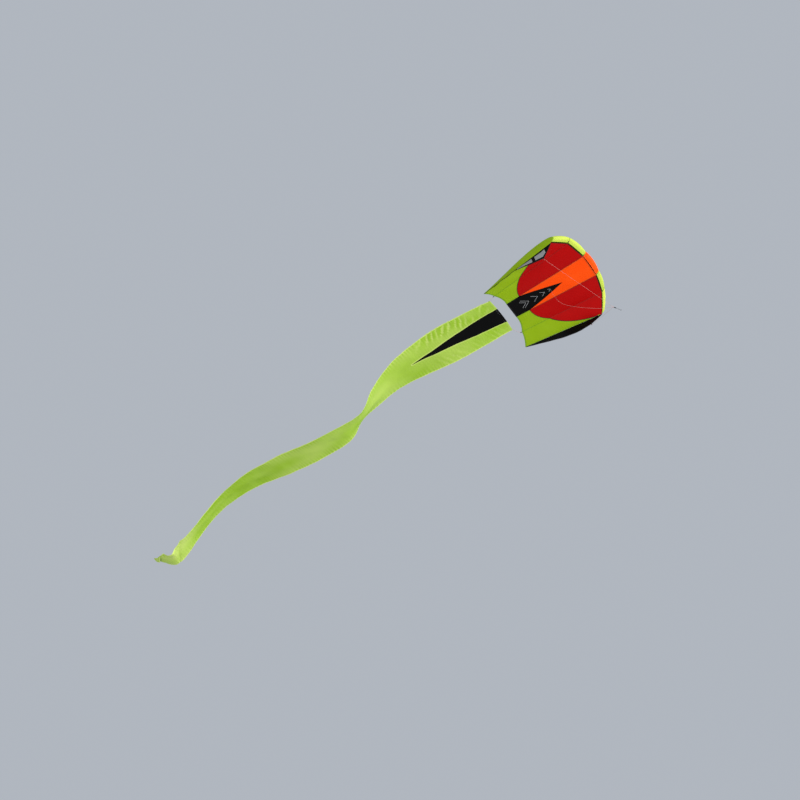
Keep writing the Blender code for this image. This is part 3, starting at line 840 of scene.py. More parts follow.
@dataclass
class Studio:
    """Pale floor, soft lights and the camera that looks up from the floor's level."""

    camera_azimuth: float = -58.29
    camera_elevation: float = -43.50
    camera_distance: float = 16.0
    camera_right: float = -1.715
    camera_up: float = -1.244
    focal_length: float = 69.6
    floor_level: float = -13.2
    floor_size: float = 160.0
    sky_strength: float = 0.70
    sun_strength: float = 2.05
    sun_way: Vector = Vector((0.15, 0.75, -0.65))
    sun_spread: float = math.radians(14.0)
    softboxes: tuple[Softbox, ...] = (
        Softbox("low_softbox", (-5.5, -5.0, -6.5), (0.0, 1.4, -0.6), 5.0, 460.0, "#fffaf2"),
        Softbox("nose_softbox", (2.5, -8.5, 0.5), (0.0, -0.3, 0.0), 4.0, 660.0, "#fffdf6"))

    def camera(self) -> None:
        """Set up the camera where the photograph was taken from."""
        azimuth = math.radians(self.camera_azimuth)
        elevation = math.radians(self.camera_elevation)
        back = Vector((math.sin(azimuth) * math.cos(elevation),
                       -math.cos(azimuth) * math.cos(elevation), math.sin(elevation)))
        right = Vector((math.cos(azimuth), math.sin(azimuth), 0.0))
        up = back.cross(right)
        data = bpy.data.cameras.new("photo_camera")
        data.lens = self.focal_length
        data.sensor_width = 36.0
        data.clip_start = 0.1
        data.clip_end = 400.0
        camera = in_scene("photo_camera", data)
        spot = back * self.camera_distance + right * self.camera_right + up * self.camera_up
        turn = Matrix((right, up, back)).transposed()
        camera.matrix_world = Matrix.Translation(spot) @ turn.to_4x4()
        bpy.context.scene.camera = camera

    def floor(self) -> None:
        """Lay the plain floor far below the flying kite."""
        shape = bmesh.new()
        bmesh.ops.create_grid(shape, x_segments=4, y_segments=4, size=self.floor_size / 2)
        bmesh.ops.translate(shape, verts=shape.verts, vec=(0.0, 0.0, self.floor_level))
        mesh = bpy.data.meshes.new("studio_floor")
        shape.to_mesh(mesh)
        shape.free()
        mesh.materials.append(PlainPaint("pale_floor_paint", None, "#d8dade").material())
        in_scene("studio_floor", mesh)

    def light(self, name: str, kind: str, power: float, tint: str, way: Vector) -> Piece:
        """Set a light.

        Args:
            name: Name of the light.
            kind: Blender's word for its kind.
            power: Its energy.
            tint: Colour of its light.
            way: Direction in which it shines.

        Returns:
            The light.
        """
        data = bpy.data.lights.new(name, kind)
        data.energy = power
        data.color = linear(tint)[:3]
        light = in_scene(name, data)
        light.rotation_mode = "QUATERNION"
        light.rotation_quaternion = way.to_track_quat("-Z", "Y")
        return light

    def lights(self) -> None:
        """Light the kite softly from all round, with a key from its nose side."""
        world = bpy.data.worlds.new("soft_sky")
        world.use_nodes = True
        feed(world.node_tree.nodes["Background"],
             {"Color": linear("#cfd6e0"), "Strength": self.sky_strength})
        bpy.context.scene.world = world
        sun = self.light("window_sun", "SUN", self.sun_strength, "#fff6e8", self.sun_way)
        sun.data.angle = self.sun_spread
        for box in self.softboxes:
            light = self.light(box.name, "AREA", box.power, box.tint, Vector(box.aim) - Vector(box.spot))
            light.data.shape = "SQUARE"
            light.data.size = box.size
            light.location = box.spot
            light.visible_camera = False
        bpy.context.scene.view_settings.view_transform = "Standard"


# Canopy

@dataclass
class Canopy:
    """Five-cell ram-air wing: skins, ribs, side fins and the tabs sewn to them."""

    rib_front_half_span: tuple[float, ...] = (0.150, 0.392, 0.578)
    rib_rear_half_span: tuple[float, ...] = (0.108, 0.300, 0.448)
    rib_lead_aft: tuple[float, ...] = (0.000, 0.053, 0.172)
    rib_lead_rise: tuple[float, ...] = (0.000, 0.005, -0.083)
    rib_trail_aft: tuple[float, ...] = (0.940, 0.985, 1.040)
    rib_trail_rise: tuple[float, ...] = (0.010, -0.016, -0.085)
    pitch: float = math.radians(10.0)
    origin_aft: float = 0.285
    mean_chord: float = 0.95
    weave_chord: float = 0.97
    skin: float = 0.002
    gap: float = 0.0003
    lower_billow: float = 0.04
    upper_billow: float = 0.10
    profile: tuple[tuple[float, float], ...] = (
        (-0.013, 0.019), (-0.032, 0.032), (-0.043, 0.053), (-0.033, 0.079), (0.004, 0.103),
        (0.080, 0.121), (0.220, 0.128), (0.420, 0.110), (0.650, 0.067), (0.850, 0.027), (1.000, 0.0034))
    lip_reach: tuple[float, ...] = (0.45, 0.45, 0.65, 0.45, 0.45)
    rear_scallop: tuple[float, ...] = (0.010, 0.018, 0.0, 0.018, 0.010)
    red_reach: float = 0.845
    red_side_power: float = 2.6
    red_end_power: float = 1.0 / 1.75
    red_corner: float = 0.02
    tip_crowding: float = 1.7
    wedge_tip: float = 0.349
    wedge_base: float = 0.820
    chevron_tips: tuple[float, ...] = (0.500, 0.575, 0.665, 0.775, 0.815)
    chevron_reaches: tuple[float, ...] = (0.14, 0.24, 0.36, 0.50, 0.38)
    chevron_feet: tuple[float, ...] = (0.530, 0.622, 0.730, 0.858, 0.877)
    chevron_width: float = 0.0040
    sunlit_tone: float = 0.85
    rib_rows: int = 72
    skin_rows: int = 110
    fin_rows: int = 120
    fin_margin: float = 0.004
    fin_shares: tuple[float, ...] = (0.0, 0.06, 0.155, 0.30, 0.50, 0.75, 1.0)
    fin_depths: tuple[float, ...] = (0.003, 0.045, 0.105, 0.098, 0.062, 0.033, 0.003)
    fin_leans: tuple[float, ...] = (0.0, -0.010, -0.024, 0.007, 0.038, 0.023, 0.0)
    fin_apex: float = 0.155
    fin_seat: float = 0.0024
    fin_length: float = 0.93
    window_shares: tuple[tuple[str, float, float], ...] = (
        ("front", 2.5 / 24, 6 / 24), ("rear", 7 / 24, 12 / 24))
    window_downs: tuple[float, float] = (0.2, 0.77)
    tab_length: float = 0.014
    tab_width: float = 0.010
    tail_tab_seat: float = 0.0022
    keel_share: float = 0.500
    seam_width: float = 0.008
    hem_width: float = 0.014
    lip_hem_width: float = 0.013
    lead_width: float = 0.0065
    border_width: float = 0.0055
    tip_width: float = 0.006
    binding_width: float = 0.007
    binding_lift: float = 0.0010
    window_lift: float = 0.0012
    flutter: float = 0.0035
    tip_bulge: float = 0.006
    tack_width: float = 0.010
    rib_puckers: Puckers = Puckers(0.0016, 0.026, 0.020, 1.0)
    edge_puckers: Puckers = Puckers(0.0014, 0.022, 0.018, 7.0)

    def __post_init__(self) -> None:
        """Find where the six ribs stand, with the span running from -1 to 1."""
        self.tip = self.rib_front_half_span[2]
        self.spans = [self.rib_ends(rib)[0][0] / self.tip for rib in range(6)]
        self.inner = self.spans[3]
        self.seam = self.gap / self.tip

    def point(self, across: float, aft: float, rise: float) -> Vector:
        """Point in the canopy's own directions, which are pitched nose-up."""
        way = aft - self.origin_aft
        return Vector((across, way * math.cos(self.pitch) + rise * math.sin(self.pitch),
                       -way * math.sin(self.pitch) + rise * math.cos(self.pitch)))

    def down(self, length: float) -> Vector:
        """Step away from the lower skin, square to the chord."""
        return self.point(0.0, 0.0, -length) - self.point(0.0, 0.0, 0.0)

    def rib_ends(self, rib: int) -> tuple[np.ndarray, np.ndarray]:
        """Find both ends of a rib's chord.

        Args:
            rib: Rib 0 to 5, from the left tip to the right tip.

        Returns:
            Its lead and its trail.
        """
        pair, sign = (2 - rib, -1.0) if rib < 3 else (rib - 3, 1.0)
        lead = (sign * self.rib_front_half_span[pair], self.rib_lead_aft[pair], self.rib_lead_rise[pair])
        trail = (sign * self.rib_rear_half_span[pair], self.rib_trail_aft[pair], self.rib_trail_rise[pair])
        return np.array(lead), np.array(trail)

    def rib_length(self, rib: int) -> float:
        """Length of a rib's chord."""
        return float(np.linalg.norm(np.subtract(*self.rib_ends(rib))))

    def cell_share(self, span: float) -> tuple[int, float]:
        """Cell that a span lies in, and the share across it."""
        cell = max(k for k in range(5) if span >= self.spans[k] or k == 0)
        return cell, (span - self.spans[cell]) / (self.spans[cell + 1] - self.spans[cell])

    def cell_spot(self, cell: int, share: float, chord: float) -> tuple[float, np.ndarray, float, float]:
        """Find a place on the flat lower face of a cell, whose rear edge is scalloped.

        Args:
            cell: Cell 0 to 4 from the left.
            share: Share across the cell.
            chord: 0 at the leading edge to 1 at the trailing edge.

        Returns:
            Share of the billow, flat point, width of the cell there, and distance to its nearer rib.
        """
        hump = 4.0 * share * (1.0 - share)
        pulled = chord - self.rear_scallop[cell] * hump * smooth_step(chord, 0.80, 1.0)
        left, right = (lead * (1.0 - pulled) + trail * pulled
                       for lead, trail in (self.rib_ends(cell), self.rib_ends(cell + 1)))
        width = float(np.linalg.norm(right - left))
        return hump, left + (right - left) * share, width, max(0.0, min(share, 1.0 - share) * width)

    def half_width(self, chord: float) -> float:
        """Half of the span in metres at a share of the chord."""
        return self.tip * (1.0 - chord) + self.rib_rear_half_span[2] * chord

    def lower(self, span: float, chord: float, drop: float = 0.0) -> Vector:
        """Point on the lower skin.

        Args:
            span: -1 at the left tip to 1 at the right tip.
            chord: 0 at the leading edge to 1 at the trailing edge.
            drop: Distance below the skin.

        Returns:
            Point in the row frame.
        """
        cell, share = self.cell_share(span)
        hump, flat, width, away = self.cell_spot(cell, share, chord)
        billow = self.lower_billow * width * hump * math.sin(math.pi * min(max(chord, 0.0), 1.0))
        pucker = self.rib_puckers.beside(away, chord + 0.31 * cell) * hill(chord, 0.0, 0.05, 0.93, 1.0)
        return self.point(flat[0], flat[1], flat[2] - billow - pucker - drop)

    def upper(self, span: float, along: float, lift: float = 0.0) -> Vector:
        """Point on the upper skin.

        Args:
            span: -1 at the left tip to 1 at the right tip.
            along: 0 at the lip of the intake, round the nose, to 1 at the trailing edge.
            lift: Distance above the skin.

        Returns:
            Point in the row frame.
        """
        cell, share = self.cell_share(span)
        position = along * (len(self.profile) - 1) - self.lip_reach[cell] * max(0.0, 1.0 - along * 10.0)
        chord, height = smooth_curve(self.profile, position)
        slope = smooth_curve(self.profile, position + 0.05) - smooth_curve(self.profile, position - 0.05)
        outward = np.array((-slope[1], slope[0])) / np.linalg.norm(slope)
        hump, flat, width, away = self.cell_spot(cell, share, chord)
        length = self.rib_length(cell) * (1.0 - share) + self.rib_length(cell + 1) * share
        fade = math.sin(math.pi * min(1.0, 0.18 + 0.82 * along) ** 1.6)
        pucker = self.rib_puckers.beside(away, along * 1.1 + 0.53 * cell) * hill(along, 0.0, 0.08, 0.93, 1.0)
        bulge = self.upper_billow * width * hump * fade + pucker + lift
        return self.point(flat[0], flat[1] + bulge * outward[0],
                          flat[2] + height * length + bulge * outward[1])

    def red_edge(self, span: float) -> float:
        """How far back the red field goes, as a share of the chord."""
        open_share = max(0.0, 1.0 - abs(span) ** self.red_side_power)
        return max(self.red_corner, self.red_reach * open_share ** self.red_end_power)

    def wedge_edge(self, span: float) -> float:
        """Where the black panel starts between the inner ribs."""
        return self.wedge_tip + (self.wedge_base - self.wedge_tip) * min(1.0, abs(span) / self.inner)

    def strip(self, cloth: ClothMaker, spots: np.ndarray, width: float, lift: float = 0.0) -> None:
        """Lay a narrow strip on the lower skin along a path.

        Args:
            cloth: Piece that gets the strip.
            spots: Span and chord at each row of the strip.
            width: Width of the strip.
            lift: How much farther it stands off than other strips.
        """
        rows = len(spots) - 1
        scale = np.array([(self.half_width(chord), self.weave_chord) for _, chord in spots])
        metres = spots * scale
        slopes = np.gradient(metres, axis=0)
        slopes /= np.maximum(np.linalg.norm(slopes, axis=1), 1e-9)[:, None]
        way = distances(metres)

        def cut(t: float, v: float) -> Cut:
            """Point of the strip, whose middle stands up a little."""
            row = int(round(v * rows))
            off = (t - 0.5) * width
            side, aft = off * slopes[row][::-1] * (-1.0, 1.0) / scale[row]
            drop = TAPE_SEAT + lift + (TAPE_LIFT if t == 0.5 else 0.0)
            return Cut(self.lower(spots[row][0] + side, spots[row][1] + aft, drop), (off, way[row]))

        cloth.lay(2, rows, cut)

    def field(self, span_at: Callable[[float], float],
              chords_at: Callable[[float], tuple[float, float]]) -> CutRule:
        """Rule of one colour field of the lower skin.

        Args:
            span_at: Gives the span at a share across the field.
            chords_at: Gives the chords where the field starts and ends at a span.

        Returns:
            The rule.
        """
        def cut(t: float, v: float) -> Cut:
            """Point of the field, whose weave runs along the chord."""
            span = span_at(t)
            start, end = chords_at(span)
            chord = start + (end - start) * v
            return Cut(self.lower(span, chord), (span * self.half_width(chord), chord * self.weave_chord))

        return cut

    def lower_skin(self) -> list[Piece]:
        """Build the coloured fields of the lower skin with their seams."""
        seams = self.lower_seams()
        red_seams, lime_seams, orange_seams, black_seams = seams
        chevrons = self.chevrons()
        trims = {"lower_red_left": [red_seams], "lower_lime_left": [lime_seams]}
        seam, start = self.seam, self.inner + self.seam
        pieces = [*seams, chevrons]
        for side in Side:
            def spread(t: float) -> float:
                """Columns crowd towards the tip, where the red outline turns fast."""
                return side.value * (start + (1.0 - start) * (1.0 - (1.0 - t) ** self.tip_crowding))

            for word, finish, chords in (
                    ("red", RED, lambda span: (0.0, self.red_edge(min(1.0, abs(span) + 2 * seam)) - seam)),
                    ("lime", LIME, lambda span: (self.red_edge(min(1.0, abs(span))), 1.0))):
                node = "lower_%s_%s" % (word, side.label)
                pieces.append(sewn(node, finish, (64, 44), self.field(spread, chords), trims.get(node, ())))
        for node, finish, chords, sewn_on in (
                ("lower_orange_stripe", ORANGE, lambda span: (0.0, self.wedge_edge(span) - seam),
                 [orange_seams]),
                ("lower_black_panel", BLACK, lambda span: (self.wedge_edge(span) + seam, 1.0),
                 [black_seams, chevrons])):
            rule = self.field(lambda t: (2.0 * t - 1.0) * (self.inner - seam), chords)
            pieces.append(sewn(node, finish, (40, 48), rule, sewn_on))
        return pieces

    def lower_seams(self) -> list[Piece]:
        """Sew the lower skin: rib seams, field edges, leading and trailing hems."""
        red, lime, orange, black = cloths = [
            ClothMaker("lower_%s_seams" % word, finish) for word, finish in
            (("red", RED_SEAM), ("lime", LIME_SEAM), ("orange", ORANGE_SEAM), ("black", BLACK_BINDING))]
        front, red_end, rear = 0.006, 0.806, 0.994
        stripe_hem_at, binding_at, rear_hem_at = 0.0045, 0.0035, 0.992
        tip_at, tip_end, corner = 0.9935, 0.992, 0.012
        narrow = self.seam_width * 0.8
        runs = []
        for rib in (1, 4):
            span = self.spans[rib]
            edge = self.red_edge(span)
            runs += [(red, (span, front), (span, edge - front), self.seam_width, 60),
                     (lime, (span, edge), (span, rear), self.seam_width, 40)]
        for rib, sign in ((2, -1.0), (3, 1.0)):
            off = sign * 0.0045 / self.half_width(0.3)
            outer, inner = self.spans[rib] + off, self.spans[rib] - off
            runs += [(red, (outer, front), (outer, red_end), narrow, 60),
                     (orange, (inner, front), (inner, red_end), narrow, 60),
                     (lime, (outer, self.red_reach), (outer, rear), narrow, 20)]
        crowded = self.inner + (0.997 - self.inner) * (1.0 - np.linspace(1.0, 0.0, 91) ** self.tip_crowding)
        for side in Side:
            sign = side.value
            border = np.array([(sign * span, self.red_edge(span)) for span in crowded])
            self.strip(black, border, self.border_width, 0.0004)
            for start, end in ((self.inner + corner, self.spans[4]), (self.spans[4], tip_end)):
                runs += [(black, (sign * start, binding_at), (sign * end, binding_at), self.lead_width, 40),
                         (lime, (sign * start, rear_hem_at), (sign * end, rear_hem_at), self.hem_width, 40)]
            runs.append((lime, (sign * tip_at, 0.03), (sign * tip_at, 0.99), self.tip_width, 60))
        half = self.inner - 0.004
        runs += [(orange, (-half, stripe_hem_at), (half, stripe_hem_at), self.seam_width, 40),
                 (black, (-half, rear_hem_at), (half, rear_hem_at), self.hem_width, 40)]
        for cloth, start, end, width, rows in runs:
            self.strip(cloth, np.linspace(start, end, rows + 1), width)
        return [cloth.piece() for cloth in cloths]

    def chevrons(self) -> Piece:
        """Sew thin grey chevrons on the black panel, smaller towards its tip."""
        cloth = ClothMaker("black_panel_chevrons", GREY_PIPING)
        for tip, reach, foot in zip(self.chevron_tips, self.chevron_reaches, self.chevron_feet):
            for side in Side:
                end = (side.value * self.inner * reach, foot)
                self.strip(cloth, np.linspace((0.0, tip), end, 25), self.chevron_width)
        return cloth.piece()

    def upper_skin(self) -> list[Piece]:
        """Build the five upper panels from the intake's lip over the nose to the tail edge."""
        samples = np.arange(101.0)
        fold = np.array([smooth_curve(self.profile, sample * 0.1) for sample in samples])
        ways = self.mean_chord * distances(fold)
        seams = self.upper_seams()
        lime_seams, bright_seams, orange_seams, tacks = seams
        trims = {0: [lime_seams, tacks], 2: [orange_seams], 4: [bright_seams]}
        margin = CLOTH / self.tip
        pieces = [*seams]
        for cell, finish in enumerate((SUNLIT_LIME, SUNLIT_LIME, ORANGE, SUNLIT_LIME, BRIGHT)):
            start, end = self.spans[cell] + margin, self.spans[cell + 1] - margin
            # painted glow: every panel but the orange one is painted paler towards the nose, for light coming
            # through it
            sunlit = 0.0 if finish is ORANGE else self.sunlit_tone

            def cut(t: float, v: float) -> Cut:
                """Point of the panel, paler where light comes through the rounded nose."""
                span = start + (end - start) * t
                way = float(np.interp(v * 100.0, samples, ways))
                return Cut(self.upper(span, v), (span * self.half_width(max(0.0, way - 0.1)), way),
                           sunlit * (1.0 - smooth_step(v, 0.22, 0.50)))

            pieces.append(sewn("upper_panel_%d" % (cell + 1), finish, (28, self.skin_rows), cut,
                               trims.get(cell, ())))
        return pieces

    def upper_seams(self) -> list[Piece]:
        """Sew the upper skin over each rib, along its lip and along its trailing edge."""
        lime, bright, orange, tacks = cloths = [ClothMaker(name, finish) for name, finish in (
            ("upper_lime_seams", LIME_SEAM), ("upper_bright_seams", BRIGHT_SEAM),
            ("upper_orange_seams", ORANGE_SEAM), ("lip_bar_tacks", BLACK_BINDING))]
        inwards = {0: 0.5, 5: -0.5}
        for rib, span in enumerate(self.spans):
            def over_rib(t: float, v: float) -> Cut:
                """Point of the seam over a rib, which lies inside the outline at the tips."""
                off = (t - 0.5 + inwards.get(rib, 0.0)) * self.seam_width
                rise = TAPE_SEAT + (TAPE_LIFT if t == 0.5 else 0.0)
                return Cut(self.upper(span + off / self.tip, v, rise), ((t - 0.5) * self.seam_width, v * 1.1))

            def tack(t: float, v: float) -> Cut:
                """Point of the bar tack where the lip is sewn to a rib."""
                off = (t - 0.5) * self.tack_width
                rise = TAPE_SEAT + 0.0008 + (TAPE_LIFT if t == 0.5 else 0.0)
                return Cut(self.upper(span + off / self.tip, 0.05 * v, rise), (off, v * 0.012))

            (bright if rib == 5 else lime).lay(2, self.skin_rows, over_rib)
            if 0 < rib < 5:
                tacks.lay(2, 6, tack)
        for cell, cloth in enumerate((lime, lime, orange, lime, bright)):
            left, right = self.spans[cell] + 0.006, self.spans[cell + 1] - 0.006
            for start, end in ((0.0, 0.012), (0.988, 1.0)):
                def hem(t: float, v: float) -> Cut:
                    """Point of the hem along the lip or the trailing edge."""
                    span = left + (right - left) * v
                    return Cut(self.upper(span, start + (end - start) * t, TAPE_SEAT),
                               ((t - 0.5) * self.lip_hem_width, span * self.tip))

                cloth.lay(2, 30, hem)
        return [cloth.piece() for cloth in cloths]

    def ribs(self) -> list[Piece]:
        """Build the six ribs; the two at the tips are the side walls and bulge a little."""
        pieces = []
        for rib in range(6):
            lead, trail = self.rib_ends(rib)
            length = self.rib_length(rib)
            bulge = {0: -self.tip_bulge, 5: self.tip_bulge}.get(rib, 0.0)

            def cut(t: float, v: float) -> Cut:
                """Point of the rib, from its foot on the lower skin to the upper skin."""
                chord, height = smooth_curve(self.profile, v * (len(self.profile) - 1))
                foot = min(0.999, 0.004 + 0.995 * v ** 1.25)
                way = foot + (chord - foot) * t
                spot = lead + (trail - lead) * way
                top = height * length - CLOTH
                rise = CLOTH + (top - CLOTH) * t
                waist = 4.0 * t * (1.0 - t) * math.sin(math.pi * v)
                pucker = self.edge_puckers.beside(min(t, 1.0 - t) * max(top, 0.0), v * length + rib)
                side = bulge * waist + pucker * hill(v, 0.0, 0.1, 0.8, 1.0)
                return Cut(self.point(spot[0] + side, spot[1], spot[2] + rise), (way * length, rise))

            pieces.append(sewn("rib_%d" % (rib + 1), BRIGHT if rib == 5 else LIME, (10, self.rib_rows), cut))
        return pieces

    def fin_value(self, values: Sequence[float], share: float) -> float:
        """Read a fin's stations, straight as far as its deepest part and smooth behind it.

        Args:
            values: Value at each station.
            share: Place along the fin.

        Returns:
            Value at that place.
        """
        shares = self.fin_shares
        span = min(max(int(np.searchsorted(shares, share, side="right")) - 1, 0), len(shares) - 2)
        size = shares[span + 1] - shares[span]
        t = (share - shares[span]) / size
        if share < shares[3]:
            return values[span] + (values[span + 1] - values[span]) * t
        start, end = np.gradient(values, shares)[span:span + 2] * size
        return float((2 * t ** 3 - 3 * t ** 2 + 1) * values[span] + (t ** 3 - 2 * t ** 2 + t) * start
                     + (3 * t ** 2 - 2 * t ** 3) * values[span + 1] + (t ** 3 - t ** 2) * end)

    def fin_base(self, side: Side, share: float, down: float) -> Vector:
        """Point on a fin without its flutter.

        Args:
            side: Side of the kite.
            share: 0 at the front end of the fin to 1 at its rear end.
            down: 0 at its seam to 1 at its lower edge.

        Returns:
            Point in the row frame.
        """
        lead, trail = self.rib_ends(5 if side is Side.RIGHT else 0)
        seam = lead + (trail - lead) * share
        depth, lean = (self.fin_value(values, share) for values in (self.fin_depths, self.fin_leans))
        return self.point(seam[0] + side.value * lean * down, seam[1],
                          seam[2] - self.fin_seat * min(1.0, 0.4 + down * 4.0) - depth * down)

    def fin(self, side: Side, share: float, down: float, lift: float = 0.0) -> Vector:
        """Point on a fin, with the flutter that the wind gives its rear half.

        Args:
            side: Side of the kite.
            share: 0 at the front end of the fin to 1 at its rear end.
            down: 0 at its seam to 1 at its lower edge.
            lift: Distance off its outer face.

        Returns:
            Point in the row frame.
        """
        step = 0.02
        along = self.fin_base(side, share + step, down) - self.fin_base(side, share - step, down)
        below = self.fin_base(side, share, down + step) - self.fin_base(side, share, down - step)
        outward = along.cross(below).normalized()
        outward *= math.copysign(1.0, outward.x * side.value)
        flutter = self.flutter * math.sin(34.0 * share + 2.0 * down) * down
        flutter *= hill(share, 0.25, 0.6, 0.85, 1.0)
        depth = self.fin_value(self.fin_depths, share)
        pull = self.edge_puckers.beside((1.0 - down) * depth, share) * min(1.0, depth / 0.03)
        return self.fin_base(side, share, down) + outward * (flutter + pull + lift)

    def fin_share(self, t: float) -> float:
        """Place along the fin inside the margin at both of its ends."""
        return self.fin_margin + (1.0 - 2.0 * self.fin_margin) * t

    def fins(self) -> list[Piece]:
        """Build both side fins with their grey windows and bound edges."""
        pieces = []
        for side in Side:
            binding = ClothMaker("fin_binding_" + side.label, BLACK_BINDING)
            for lift in (self.binding_lift, -self.binding_lift):
                def edge(t: float, v: float) -> Cut:
                    """Point of the binding, folded over the fin's lower edge."""
                    share = self.fin_share(v)
                    depth = max(0.006, self.fin_value(self.fin_depths, share))
                    return Cut(self.fin(side, share, 1.0 - self.binding_width * t / depth, lift),
                               ((t - 0.5) * self.binding_width, share * self.fin_length))

                binding.lay(2, self.fin_rows, edge)
            bound = binding.piece()

            def cut(t: float, v: float) -> Cut:
                """Point of the fin."""
                share = self.fin_share(t)
                return Cut(self.fin(side, share, v),
                           (share * self.fin_length, v * self.fin_value(self.fin_depths, share)))

            pieces += [sewn("fin_" + side.label, BLACK, (self.fin_rows, 16), cut, [bound]), bound]
            top, bottom = self.window_downs
            for word, start, end in self.window_shares:
                def window(t: float, v: float) -> Cut:
                    """Point of a window, set on the outer face of the fin."""
                    share = self.fin_share(start + (end - start) * t)
                    down = top + (bottom - top) * v
                    return Cut(self.fin(side, share, down, self.window_lift),
                               (share * self.fin_length, down * 0.1))

                pieces.append(sewn("fin_window_%s_%s" % (word, side.label), GREY, (24, 12), window))
        return pieces

    def webbing_loop(self, name: str, node: str, top: Vector, way: Vector, flat: Vector) -> Piece:
        """Fold a short length of webbing into a loop and sew it on.

        Args:
            name: Name of the piece.
            node: CAD node that it stands for.
            top: Where the two ends are sewn.
            way: Direction in which the loop hangs out.
            flat: Direction of the webbing's width.

        Returns:
            The loop.
        """
        thick = way.cross(flat).normalized()

        def cut(t: float, v: float) -> Cut:
            """Point of the webbing, down one side, round the end and up the other."""
            turn = math.pi * v
            open_half = 0.00045 + 0.0016 * math.sin(turn) ** 2
            reach = self.tab_length * (0.5 - 0.5 * math.cos(2.0 * turn)) ** 0.75
            off = (t - 0.5) * self.tab_width
            return Cut(top + way * min(reach, self.tab_length - 0.0004) + thick * (math.cos(turn) * open_half)
                       + flat * off, (off, v * 0.03))

        loop = ClothMaker(name, WEBBING).lay(6, 32, cut).piece(0.0007)
        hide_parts(node)
        return loop

    def tabs(self) -> list[Piece]:
        """Sew the webbing loops for the bridle, the keel line and the tail lines."""
        pieces = []
        chord_way = (self.point(0.0, 1.0, 0.0) - self.point(0.0, 0.0, 0.0)).normalized()
        below = self.down(1.0).normalized()
        for side in Side:
            apex = self.fin_base(side, self.fin_apex, 1.0) + self.down(self.gap)
            pieces.append(self.webbing_loop("bridle_loop_" + side.label, "bridle_tab_" + side.label,
                                            apex, below, chord_way))
            _, trail = self.rib_ends(4 if side is Side.RIGHT else 1)
            seat = self.point(trail[0], trail[1] + self.tail_tab_seat, trail[2] - self.skin / 4)
            pieces.append(self.webbing_loop("tail_loop_" + side.label, "tail_tab_" + side.label,
                                            seat, chord_way, X_WAY))
        keel = self.lower(0.0, self.keel_share, self.skin / 2 + self.gap)
        pieces.append(self.webbing_loop("keel_loop", "keel_tab", keel, below, chord_way))
        return pieces

    def build(self) -> list[Piece]:
        """Build every part of the canopy."""
        return [*self.lower_skin(), *self.upper_skin(), *self.ribs(), *self.fins(), *self.tabs()]


# Lines, swivel and leader

